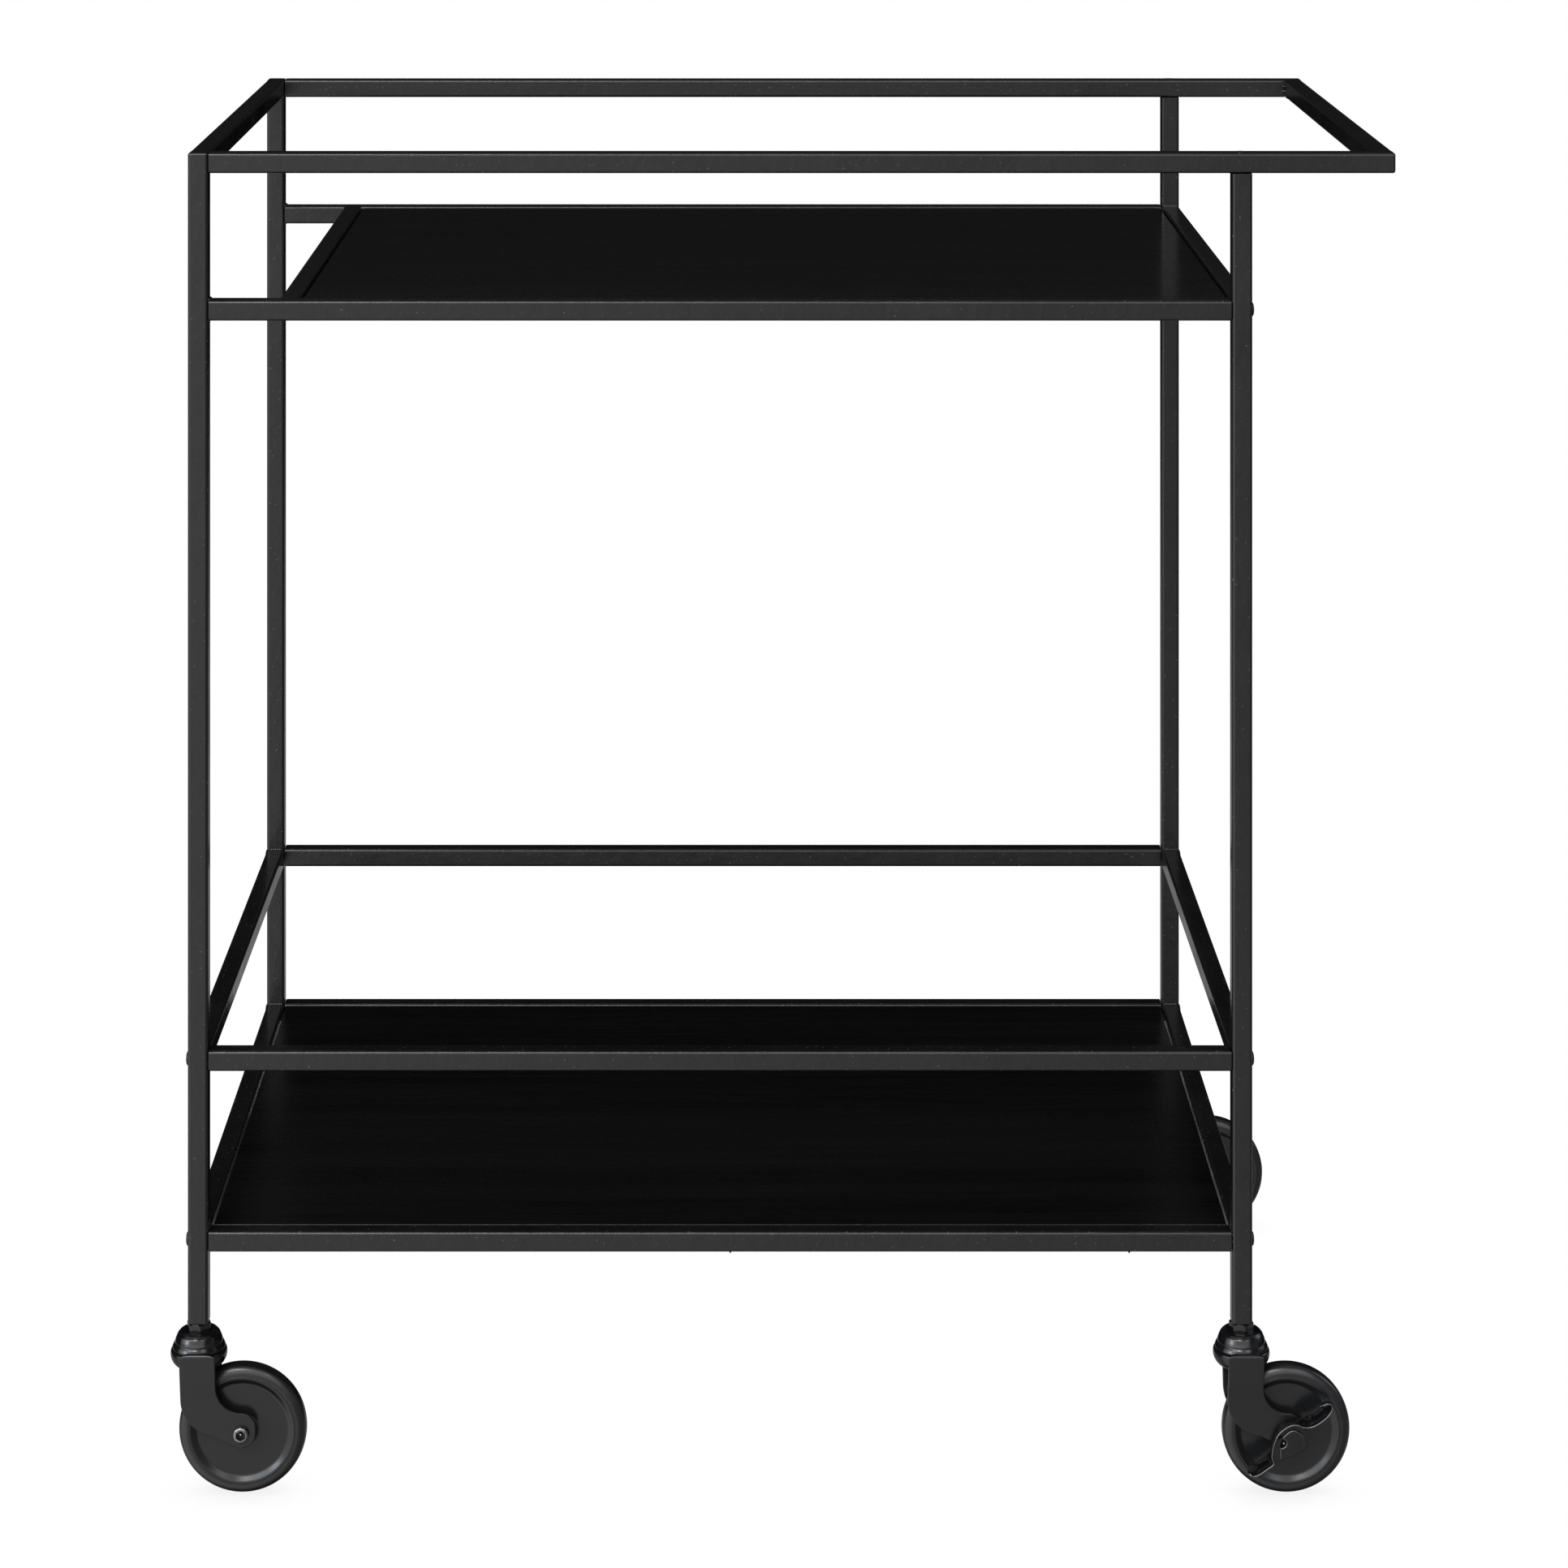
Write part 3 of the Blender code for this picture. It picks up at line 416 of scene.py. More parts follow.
def ring_of(shape, radius, height, steps, matrix):
    """One ring of vertices about local Z. The radius and the height may be functions of the angle."""
    if not callable(radius) and radius < 1e-7:
        return [shape.verts.new(matrix @ Vector((0, 0, height)))]
    ring = []
    for i in range(steps):
        angle = 2 * math.pi * i / steps
        reach = radius(angle) if callable(radius) else radius
        level = height(angle) if callable(height) else height
        place = Vector((reach * math.cos(angle), reach * math.sin(angle), level))
        ring.append(shape.verts.new(matrix @ place))
    return ring


def turned(shape, profile, steps=96, matrix=Matrix.Identity(4), closed=False):
    """Adds a solid of revolution about local Z, from (radius, height) points."""
    skin(shape, [ring_of(shape, r, h, steps, matrix) for r, h in profile], closed)


def hexagon(across):
    """The radius of a hexagon, by angle, with its corners slightly rounded off."""

    def radius(angle):
        turned_by = (angle + math.pi / 6) % (math.pi / 3) - math.pi / 6
        return min(across / 2 / math.cos(turned_by), across * 0.5585)

    return radius


def socket_head(shape, profile, across, depth, matrix, pin=0.0):
    """Adds a round head with a hexagonal socket in its top, and a small pin in the socket if asked."""
    top = profile[-1][1]
    stages = [*profile, (hexagon(across), top), (hexagon(across * 0.96), top - 0.12 * MM)]
    stages.append((hexagon(across * 0.94), top - depth))
    if pin:
        stages += [(pin, top - depth), (pin, top - depth * 0.55), (pin * 0.6, top - depth * 0.35)]
    stages.append((0, top - depth * (0.3 if pin else 1)))
    skin(shape, [ring_of(shape, radius, height, HEX_STEPS, matrix) for radius, height in stages])


def hexagon_block(shape, across, low, high, matrix):
    """Adds a hexagonal block with chamfered corners at both ends."""
    flat = across * 0.49
    middle = hexagon(across)

    def end_edge(angle):
        return min(middle(angle), flat)

    def chamfer(angle):
        return 0.15 * MM + max(middle(angle) - flat, 0) * 0.55

    stages = [
        (0, low),
        (end_edge, low),
        (middle, lambda angle: low + chamfer(angle)),
        (middle, lambda angle: high - chamfer(angle)),
        (end_edge, high),
        (0, high),
    ]
    skin(shape, [ring_of(shape, radius, height, HEX_STEPS, matrix) for radius, height in stages])


def finish_mesh(name, shape, material, sharp=40):
    """Turns a bmesh into a smooth-shaded mesh with its sharper edges kept, in degrees."""
    mesh = bpy.data.meshes.new(name)
    bmesh.ops.recalc_face_normals(shape, faces=shape.faces[:])
    shape.to_mesh(mesh)
    shape.free()
    mesh.shade_smooth()
    mesh.set_sharp_from_angle(angle=math.radians(sharp))
    mesh.materials.append(material)
    return mesh


def place_mesh(name, mesh, body, replaced, location=(0, 0, 0)):
    """Puts a mesh in the scene on a CAD body, in place of the CAD nodes it stands for."""
    obj = bpy.data.objects.new(name, mesh)
    obj.location = location
    bpy.context.scene.collection.objects.link(obj)
    weighted = obj.modifiers.new("Flat faces", "WEIGHTED_NORMAL")
    weighted.keep_sharp = True
    weighted.weight = 80
    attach(obj, body)
    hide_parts(*replaced)
    return obj


# Frame


left_low, left_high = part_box("left_end_frame")
right_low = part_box("right_end_frame")[0]
hoop_low, hoop_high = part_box("top_rail_hoop")
shelf_low, shelf_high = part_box("upper_shelf_frame")
FRONT, BACK = left_low.y, left_high.y
TUBE = left_high.x - left_low.x
HEIGHT = left_high.z
GUARD_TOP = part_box("guard_rail_front")[1].z
LOWER_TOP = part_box("lower_shelf_rail_front")[1].z
SHELF_TOP = shelf_high.z
CROSS_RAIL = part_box("upper_shelf_panel")[0].x - PANEL_GAP - TUBE
POSTS_X = {"left": left_low.x + TUBE / 2, "right": right_low.x + TUBE / 2}
POSTS_Y = {"front": FRONT + TUBE / 2, "rear": BACK - TUBE / 2}
SIDE_LOW = {"front": FRONT, "rear": BACK - TUBE}


def frame_piece(node, shape):
    """Gives a frame member its coat, and places it for its CAD node."""
    name = f"coated_{node}"
    place_mesh(name, finish_mesh(name, shape, coat), "frame", [node])


def cross_rail(shape, x, top):
    """A rail between the front and rear members, lapped into their rounded edges."""
    tube(shape, (x, FRONT + TUBE - LAP, top - TUBE), (x + TUBE, BACK - TUBE + LAP, top), "Y")


def cross_beads(shape, x, top, seed, above=True):
    """Weld beads along the top and underside seams of a cross rail's ends."""
    for i, y in enumerate((FRONT + TUBE, BACK - TUBE)):
        levels = [top - TUBE, top] if above else [top - TUBE]
        for k, z in enumerate(levels):
            start = (x + 1.2 * MM, y, z)
            end = (x + TUBE - 1.2 * MM, y, z)
            bead(shape, start, end, BEAD * 0.8, seed + 10 * i + k)


def build_end_frame(node, ends, rails, seed):
    """A front and a rear post with the cross rails between them, given by their tops."""
    box_low, box_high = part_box(node)
    x, foot, top = box_low.x, box_low.z, box_high.z
    shape = bmesh.new()
    for low in SIDE_LOW.values():
        tube(shape, (x, low, foot), (x + TUBE, low + TUBE, top), "Z", ends=ends)
    for i, rail_top in enumerate(rails):
        cross_rail(shape, x, rail_top)
        cross_beads(shape, x, rail_top, seed + 100 * i, above=rail_top < HEIGHT)
    frame_piece(node, shape)


def corner_bead(shape, x, y, top, radius, seed, relief=0.15):
    """An upright weld bead in the corner where a rail's side meets a member."""
    bead(shape, (x, y, top - TUBE + 0.6 * MM), (x, y, top - 0.7 * MM), radius, seed, relief)


def build_hoop():
    """The top's long rails and the handle between them."""
    shape = bmesh.new()
    for low in SIDE_LOW.values():
        start = (hoop_low.x, low, HEIGHT - TUBE)
        end = (hoop_high.x, low + TUBE, HEIGHT)
        tube(shape, start, end, "X", ends=(CUT_END, GROUND_END))
    inner = hoop_high.x - TUBE
    cross_rail(shape, inner, HEIGHT)
    under = HEIGHT - TUBE
    for i, y in enumerate((FRONT + TUBE, BACK - TUBE)):
        corner_bead(shape, inner, y, HEIGHT, BEAD * 1.9, 31 + i, 0.42)
        bead(shape, (inner + MM, y, under), (hoop_high.x - MM, y, under), BEAD * 0.8, 41 + i)
    frame_piece("top_rail_hoop", shape)


def tabs(shape, side, under, start, end):
    """Tabs that carry a panel, each with the head of a wood screw below it."""
    length, reach, thickness = TAB_SIZE
    face = FRONT + TUBE if side == "front" else BACK - TUBE
    inwards = 1 if side == "front" else -1
    profile = [(2.6 * MM, 0), (2.3 * MM, 0.7 * MM), (1.6 * MM, 1.1 * MM)]
    for place in TAB_PLACES:
        x = start + (end - start) * place
        ys = sorted((face - inwards * 0.5 * MM, face + inwards * reach))
        low = (x - length / 2, ys[0], under - thickness)
        high = (x + length / 2, ys[1], under)
        slab(shape, low, high, 0.4 * MM)
        head = Matrix.Translation((x, face + inwards * reach * 0.6, under - thickness))
        socket_head(shape, profile, 2 * MM, 0.8 * MM, head @ Matrix.Rotation(math.pi, 4, "X"))


def drip(shape, x, y, z, radius):
    """A dried run of coating that hangs from a rail's lower edge."""
    profile = [(0, -1.5), (0.35, -1.35), (0.6, -0.8), (1, 0.2)]
    turned(shape, [(r * radius, h * radius) for r, h in profile], 20, Matrix.Translation((x, y, z)))


def build_long_rails():
    """The guard rails, and the lower shelf's rails with their tabs and a drip or two of coating."""
    for side, low in SIDE_LOW.items():
        for kind, top in (("guard_rail", GUARD_TOP), ("lower_shelf_rail", LOWER_TOP)):
            node = f"{kind}_{side}"
            box_low, box_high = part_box(node)
            shape = bmesh.new()
            tube(shape, (box_low.x, low, top - TUBE), (box_high.x, low + TUBE, top), "X")
            if kind == "lower_shelf_rail":
                tabs(shape, side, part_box("lower_shelf_panel")[0].z - 0.3 * MM, box_low.x, box_high.x)
                for place in DRIP_PLACES:
                    x = box_low.x + (box_high.x - box_low.x) * place
                    drip(shape, x, low + 2 * MM, top - TUBE, 0.8 * MM)
            frame_piece(node, shape)


def build_shelf_frame():
    """The upper shelf's long rails with their tabs, and its cross rail."""
    shape = bmesh.new()
    for side, low in SIDE_LOW.items():
        tube(shape, (shelf_low.x, low, SHELF_TOP - TUBE), (shelf_high.x, low + TUBE, SHELF_TOP), "X")
        tabs(shape, side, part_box("upper_shelf_panel")[0].z - 0.3 * MM, CROSS_RAIL + TUBE, shelf_high.x)
        for k, z in enumerate((SHELF_TOP - TUBE, SHELF_TOP)):
            start = (shelf_low.x, low + 1.2 * MM, z)
            end = (shelf_low.x, low + TUBE - 1.2 * MM, z)
            bead(shape, start, end, BEAD * 0.75, 61 + k + (side == "rear") * 7)
    cross_rail(shape, CROSS_RAIL, SHELF_TOP)
    for i, y in enumerate((FRONT + TUBE, BACK - TUBE)):
        corner_bead(shape, CROSS_RAIL, y, SHELF_TOP, BEAD, 81 + i)
    cross_beads(shape, CROSS_RAIL, SHELF_TOP, 91, above=False)
    frame_piece("upper_shelf_frame", shape)


def build_panels():
    """Panels with softened edges. The grain of each is its own."""
    for node, looks in PANEL_LOOKS.items():
        low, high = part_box(node)
        shape = bmesh.new()
        slab(shape, low, high, PANEL_ARRIS)
        veneer = black_veneer(f"black_veneer_{node[:5]}", *looks)
        mesh = finish_mesh(f"veneered_{node}", shape, veneer)
        place_mesh(f"veneered_{node}", mesh, "frame", [node])


def build_screws():
    """Button heads on the posts' outer faces, and countersunk heads flush with the top rail."""
    button = [
        (HEAD_RADIUS, 0),
        (HEAD_RADIUS * 0.99, HEAD_HEIGHT * 0.30),
        (HEAD_RADIUS * 0.88, HEAD_HEIGHT * 0.66),
        (HEAD_RADIUS * 0.68, HEAD_HEIGHT * 0.90),
        (HEAD_RADIUS * 0.50, HEAD_HEIGHT),
    ]
    flat = [
        (HEAD_RADIUS * 0.96, -0.2 * MM),
        (HEAD_RADIUS * 0.94, 0.15 * MM),
        (HEAD_RADIUS * 0.84, 0.3 * MM),
        (HEAD_RADIUS * 0.55, 0.3 * MM),
    ]
    shank, length, neck = 2.5 * MM, 18 * MM, 1.8 * MM
    below = [(0, -length), (shank, -length), (shank, -neck)]
    places = []
    for side in DEPTHS:
        places.append((f"top_rail_screw_{side}", Vector((0, 0, 1)), flat, 0.0))
        places.append((f"upper_shelf_screw_{side}", Vector((1, 0, 0)), button, HEAD_HEIGHT))
        for end, x in (("left", -1), ("right", 1)):
            places.append((f"guard_rail_screw_{side}_{end}", Vector((x, 0, 0)), button, HEAD_HEIGHT))
            places.append((f"lower_shelf_screw_{side}_{end}", Vector((x, 0, 0)), button, HEAD_HEIGHT))
    for i, (node, outwards, profile, rise) in enumerate(places):
        low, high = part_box(node)
        centre = (low + high) / 2
        axis = 2 if outwards.z else 0
        tip = high[axis] if outwards[axis] > 0 else low[axis]
        seat = centre.copy()
        seat[axis] = tip - outwards[axis] * rise
        turn = outwards.to_track_quat("Z", "Y").to_matrix().to_4x4()
        spin = Matrix.Rotation(0.4 + 0.9 * i, 4, "Z")
        matrix = Matrix.Translation(seat) @ turn @ spin
        shape = bmesh.new()
        socket_head(shape, below + profile, SOCKET, 0.9 * MM, matrix)
        mesh = finish_mesh(f"black_{node}", shape, black_steel)
        place_mesh(f"black_{node}", mesh, "frame", [node])


# Casters


def stem_mesh():
    """Hexagon, domed upper race cup with its rolled lip, and the kingpin's head."""
    shape = bmesh.new()
    foot = left_low.z - 0.3 * MM
    hexagon_block(shape, 13 * MM, 94.6 * MM, foot, Matrix.Rotation(HEX_TURN, 4, "Z"))
    dome = [
        (0, 94.9),
        (8.8, 94.9),
        (10.9, 94.4),
        (12.4, 92.8),
        (13.4, 90.6),
        (14.0, 88.8),
        (14.0, 88.2),
        (14.6, 87.4),
        (15.3, 86.0),
        (15.6, 85.1),
        (15.3, 84.6),
        (13.3, 84.6),
        (13.3, 82.2),
        (4.0, 82.2),
        (4.0, 74.7),
        (6.5, 74.7),
        (6.3, 73.6),
        (4.2, 72.9),
        (0, 72.8),
    ]
    turned(shape, soften([(r * MM, h * MM) for r, h in dome], 0.5 * MM))
    return finish_mesh("stem", shape, gloss_enamel)


def arc(centre, radii, start, end, steps):
    """Points on an ellipse, angles in degrees."""
    points = []
    for i in range(steps + 1):
        angle = math.radians(start + (end - start) * i / steps)
        points.append((centre[0] + radii[0] * math.cos(angle), centre[1] + radii[1] * math.sin(angle)))
    return points


def leg_outline():
    """A fork leg from the side, in millimetres from the swivel axis and the floor."""
    lobe, back, front = 8.5, -9.4, 11.5
    outline = arc((1.05, 84.4), (10.45, 2.1), 165, 15, 18)
    outline += [(front, 81.0), (front, 74.0)]
    outline += arc((26, 65.5), (14.5, 16.1), 180, 270, 24)
    outline += arc((26, 40.9), (lobe, lobe), 80, 0, 12)
    outline += arc((26, 37.5), (lobe, lobe), 0, -115, 18)
    outline += arc((12.0, 57.0), (21.4, 21.0), 265, 180, 22)
    outline += [(back, 70.0), (back, 81.0)]
    return [(x * MM, z * MM) for x, z in outline]


def sheet(outline, thickness, edge, holes=()):
    """A flat sheet in XY with rounded edges, as a bmesh centred on z = 0."""
    curve = bpy.data.curves.new("sheet", "CURVE")
    curve.dimensions = "2D"
    curve.fill_mode = "BOTH"
    curve.extrude = thickness / 2 - edge
    curve.bevel_depth = edge
    curve.bevel_resolution = 2
    curve.offset = -edge
    for loop in (outline, *holes):
        spline = curve.splines.new("POLY")
        spline.points.add(len(loop) - 1)
        for point, (x, y) in zip(spline.points, loop):
            point.co = (x, y, 0, 1)
        spline.use_cyclic_u = True
    drawn = bpy.data.objects.new("sheet", curve)
    bpy.context.scene.collection.objects.link(drawn)
    bpy.context.view_layer.update()
    mesh = bpy.data.meshes.new_from_object(drawn.evaluated_get(bpy.context.evaluated_depsgraph_get()))
    bpy.data.objects.remove(drawn)
    shape = bmesh.new()
    shape.from_mesh(mesh)
    bpy.data.meshes.remove(mesh)
    bmesh.ops.remove_doubles(shape, verts=shape.verts, dist=0.002 * MM)
    return shape


def smoothstep(value):
    value = min(max(value, 0), 1)
    return value * value * (3 - 2 * value)


def add_leg(shape, outwards):
    """A pressed leg: parallel to the wheel at the axle, splayed above it, rolled over at the crown."""
    splay_foot, splay_height = 44 * MM, 39 * MM
    crown_foot, crown_height, crown_roll = 83.9 * MM, 2.6 * MM, 2.2 * MM
    cuts, cut_step = 34, 1.3 * MM
    leg = sheet(leg_outline(), LEG_THICKNESS, 0.5 * MM)
    for i in range(cuts):
        height = splay_foot + cut_step * i
        everything = leg.verts[:] + leg.edges[:] + leg.faces[:]
        bmesh.ops.bisect_plane(leg, geom=everything, plane_co=(0, height, 0), plane_no=(0, 1, 0))
    middle = LEG_INSIDE + LEG_THICKNESS / 2
    for vertex in leg.verts:
        x, z, depth = vertex.co
        splay = LEG_SPREAD * smoothstep((z - splay_foot) / splay_height)
        y = middle + splay + depth
        crown = min(max((z - crown_foot) / crown_height, 0), 1)
        y -= crown_roll * (1 - math.sqrt(1 - crown * crown))
        vertex.co = (x, outwards * y, z)
    join(shape, leg)


def fork_mesh():
    """Lower race cup, with a rolled lip and a pressed groove, and the two legs."""
    shape = bmesh.new()
    cup = [
        (14.2, 84.3),
        (15.6, 84.3),
        (16.3, 83.6),
        (16.6, 82.2),
        (16.6, 80.6),
        (16.2, 78.8),
        (15.3, 77.0),
        (13.9, 75.5),
        (12.4, 75.0),
        (4.1, 75.0),
        (4.1, 77.0),
        (12.2, 77.0),
        (14.2, 79.2),
    ]
    turned(shape, soften([(r * MM, h * MM) for r, h in cup], 0.45 * MM, closed=True), closed=True)
    for outwards in (-1, 1):
        add_leg(shape, outwards)
    mesh = finish_mesh("fork", shape, satin_enamel, 50)
    mesh.materials.append(gloss_enamel)
    for face in mesh.polygons:
        if face.center.z > 84 * MM or (face.center.z > 74.5 * MM and abs(face.center.y) < 14.8 * MM):
            face.material_index = 1
    return mesh


FACE_ON = Matrix.Translation((TRAIL, 0, AXLE_HEIGHT)) @ Matrix.Rotation(math.pi / 2, 4, "X")


def tyre_mesh():
    """Crowned tread with broad rounded shoulders. Local +Z is the front side."""
    shape = bmesh.new()
    shoulder = arc((32.1, 2.3), (5.2, 4.2), 90, 4, 14)
    front = [(31.55, 6.45), (31.7, 6.5), (32.0, 6.5), *shoulder, (37.44, 1.6), (37.5, 0.0)]
    back = [(r, -h) for r, h in reversed(front[:-1])]
    profile = [(r * MM, h * MM) for r, h in front + back]
    turned(shape, profile, 160, FACE_ON, closed=True)
    return finish_mesh("tyre", shape, rubber, 50)


def hub_mesh():
    """Rim, bevelled recess, disc and boss, the same on both sides."""
    shape = bmesh.new()
    boss = [(3.1, 8.1), (7.9, 8.1), (8.3, 7.6), (8.3, 5.3)]
    front = boss + [(9.4, 4.4), (27.0, 4.4), (30.1, 6.5), (31.5, 6.5), (31.5, 6.0)]
    back = [(r, -h) for r, h in reversed(front)]
    profile = soften([(r * MM, h * MM) for r, h in front + back], 0.7 * MM, closed=True)
    turned(shape, profile, 144, FACE_ON, closed=True)
    return finish_mesh("hub", shape, plastic, 50)


def axle_mesh():
    """Bolt through the fork, with a rolled head and a deep hexagonal socket."""
    shape = bmesh.new()
    head = LEG_OUTSIDE + 0.1 * MM
    tip = LEG_OUTSIDE + 5.5 * MM
    profile = [(0, -tip), (2.4 * MM, -tip), (3 * MM, 0.6 * MM - tip), (3 * MM, head)]
    button = [(4.7, 0), (4.7, 1.4), (4.45, 2.2), (3.95, 2.7), (3.4, 2.8)]
    profile += [(r * MM, head + h * MM) for r, h in button]
    socket_head(shape, profile, 5.4 * MM, 3.0 * MM, FACE_ON, 1.0 * MM)
    mesh = finish_mesh("axle", shape, axle_steel, 45)
    mesh.materials.append(gloss_enamel)
    # The socket's walls round the pin take the black enamel: painted shade in the recess
    for face in mesh.polygons:
        sunk = -head - 2.55 * MM < face.center.y < -head + 0.2 * MM
        radius = math.hypot(face.center.x - TRAIL, face.center.z - AXLE_HEIGHT)
        if sunk and 1.05 * MM < radius < 2.9 * MM:
            face.material_index = 1
    return mesh


def nut_mesh():
    """The hexagonal nut on the rear leg's outer face."""
    shape = bmesh.new()
    seat = LEG_OUTSIDE + 0.1 * MM
    matrix = FACE_ON @ Matrix.Rotation(math.pi / 6, 4, "Z")
    hexagon_block(shape, 10 * MM, -seat - 4 * MM, -seat, matrix)
    return finish_mesh("nut", shape, black_steel, 35)


def smooth_path(points, steps=10):
    """A Catmull-Rom curve through the points, as vectors."""
    points = [Vector(point) for point in points]
    points = [points[0] * 2 - points[1]] + points + [points[-1] * 2 - points[-2]]
    path = []
    for a, b, c, d in zip(points, points[1:], points[2:], points[3:]):
        for i in range(steps):
            t = i / steps
            bend, twist = 2 * a - 5 * b + 4 * c - d, 3 * b - a - 3 * c + d
            path.append(0.5 * (2 * b + (c - a) * t + bend * t**2 + twist * t**3))
    path.append(points[-2])
    return path


def edge_at(points, u):
    """Height of a curve through (u, v) points at a given u, eased between the points."""
    for (u0, v0), (u1, v1) in zip(points, points[1:]):
        if u <= u1:
            return v0 + (v1 - v0) * smoothstep((u - u0) / (u1 - u0))
    return points[-1][1]


def bent_rim(shape, matrix, points, width, low, high):
    """Adds the pressed-up rim of the rocker: a strip on edge with a rounded top, along a smooth path."""
    path = smooth_path(points)
    section = [(-width / 2, low), (width / 2, low), (width / 2, high - width / 2)]
    section += arc((0, high - width / 2), (width / 2, width / 2), 0, 180, 8)[1:-1]
    section += [(-width / 2, high - width / 2)]
    rings = []
    for i, point in enumerate(path):
        along = (path[min(i + 1, len(path) - 1)] - path[max(i - 1, 0)]).normalized()
        side = Vector((-along.y, along.x))
        ends = min(i, len(path) - 1 - i)
        drop = 1.2 * (1 - smoothstep(ends / 6))
        ring = []
        for offset, height in section:
            place = point + side * offset
            level = height if height == low else height - drop
            ring.append(shape.verts.new(matrix @ Vector((place.x * MM, place.y * MM, level * MM))))
        rings.append(ring)
    for a, b in zip(rings, rings[1:]):
        for k in range(len(section)):
            n = (k + 1) % len(section)
            face = shape.faces.new((a[k], a[n], b[n], b[k]))
            # The rim's rounded top takes bare steel: edge wear, and a painted highlight along the rim
            face.material_index = 1 if 2 <= k < len(section) - 1 else 0
    shape.faces.new(list(reversed(rings[0])))
    shape.faces.new(rings[-1])


def pedal(shape, matrix, start, end, lower, upper, floor_height, far_rise):
    """Adds one hollowed end of the rocker: a sheet between two edges, turned up at its side and end."""
    across_steps, along_steps, thickness = 22, 60, 1.3
    layers = []
    for layer in (thickness, 0):
        grid = []
        for i in range(along_steps + 1):
            t = i / along_steps
            u = start + (end - start) * t
            low_edge, high_edge = edge_at(lower, u), edge_at(upper, u)
            row = []
            for k in range(across_steps + 1):
                side = k / across_steps
                v = low_edge + (high_edge - low_edge) * side
                rise = 3.4 * side**1.4 + far_rise * smoothstep((t - 0.66) / 0.34)
                level = floor_height + layer + rise * smoothstep(t * 2.2)
                row.append(shape.verts.new(matrix @ Vector((u * MM, v * MM, level * MM))))
            grid.append(row)
        layers.append(grid)
    outer, inner = layers
    for i in range(along_steps):
        for k in range(across_steps):
            for grid in layers:
                shape.faces.new((grid[i][k], grid[i + 1][k], grid[i + 1][k + 1], grid[i][k + 1]))
        for k in (0, across_steps):
            shape.faces.new((outer[i][k], outer[i + 1][k], inner[i + 1][k], inner[i][k]))
    for k in range(across_steps):
        for i in (0, along_steps):
            shape.faces.new((outer[i][k], outer[i][k + 1], inner[i][k + 1], inner[i][k]))


def plate(shape, matrix, outline, low, high, edge, hole, edge_wear_and_highlight=False):
    """Adds a flat plate with a round hole, between two heights. Its rounded edges may take bare steel: edge
    wear, and a painted highlight.
    """
    centre, radius = hole
    holes = [[(x * MM, y * MM) for x, y in arc(centre, (radius, radius), 345, 0, 23)]]
    piece = sheet([(x * MM, y * MM) for x, y in outline], (high - low) * MM, edge * MM, holes)
    for face in piece.faces:
        face.normal_update()
        # Sloping faces of the rounded edges get bare steel: edge wear and a painted highlight
        face.material_index = 1 if edge_wear_and_highlight and 0.15 < face.normal.z < 0.97 else 0
    lifted = matrix @ Matrix.Translation((0, 0, (low + high) / 2 * MM))
    bmesh.ops.transform(piece, matrix=lifted, verts=piece.verts)
    join(shape, piece)


def outline_through(*stretches):
    """Points along smooth stretches, each given as its guide points and its steps between them."""
    return [tuple(point) for points, steps in stretches for point in smooth_path(points, steps)]


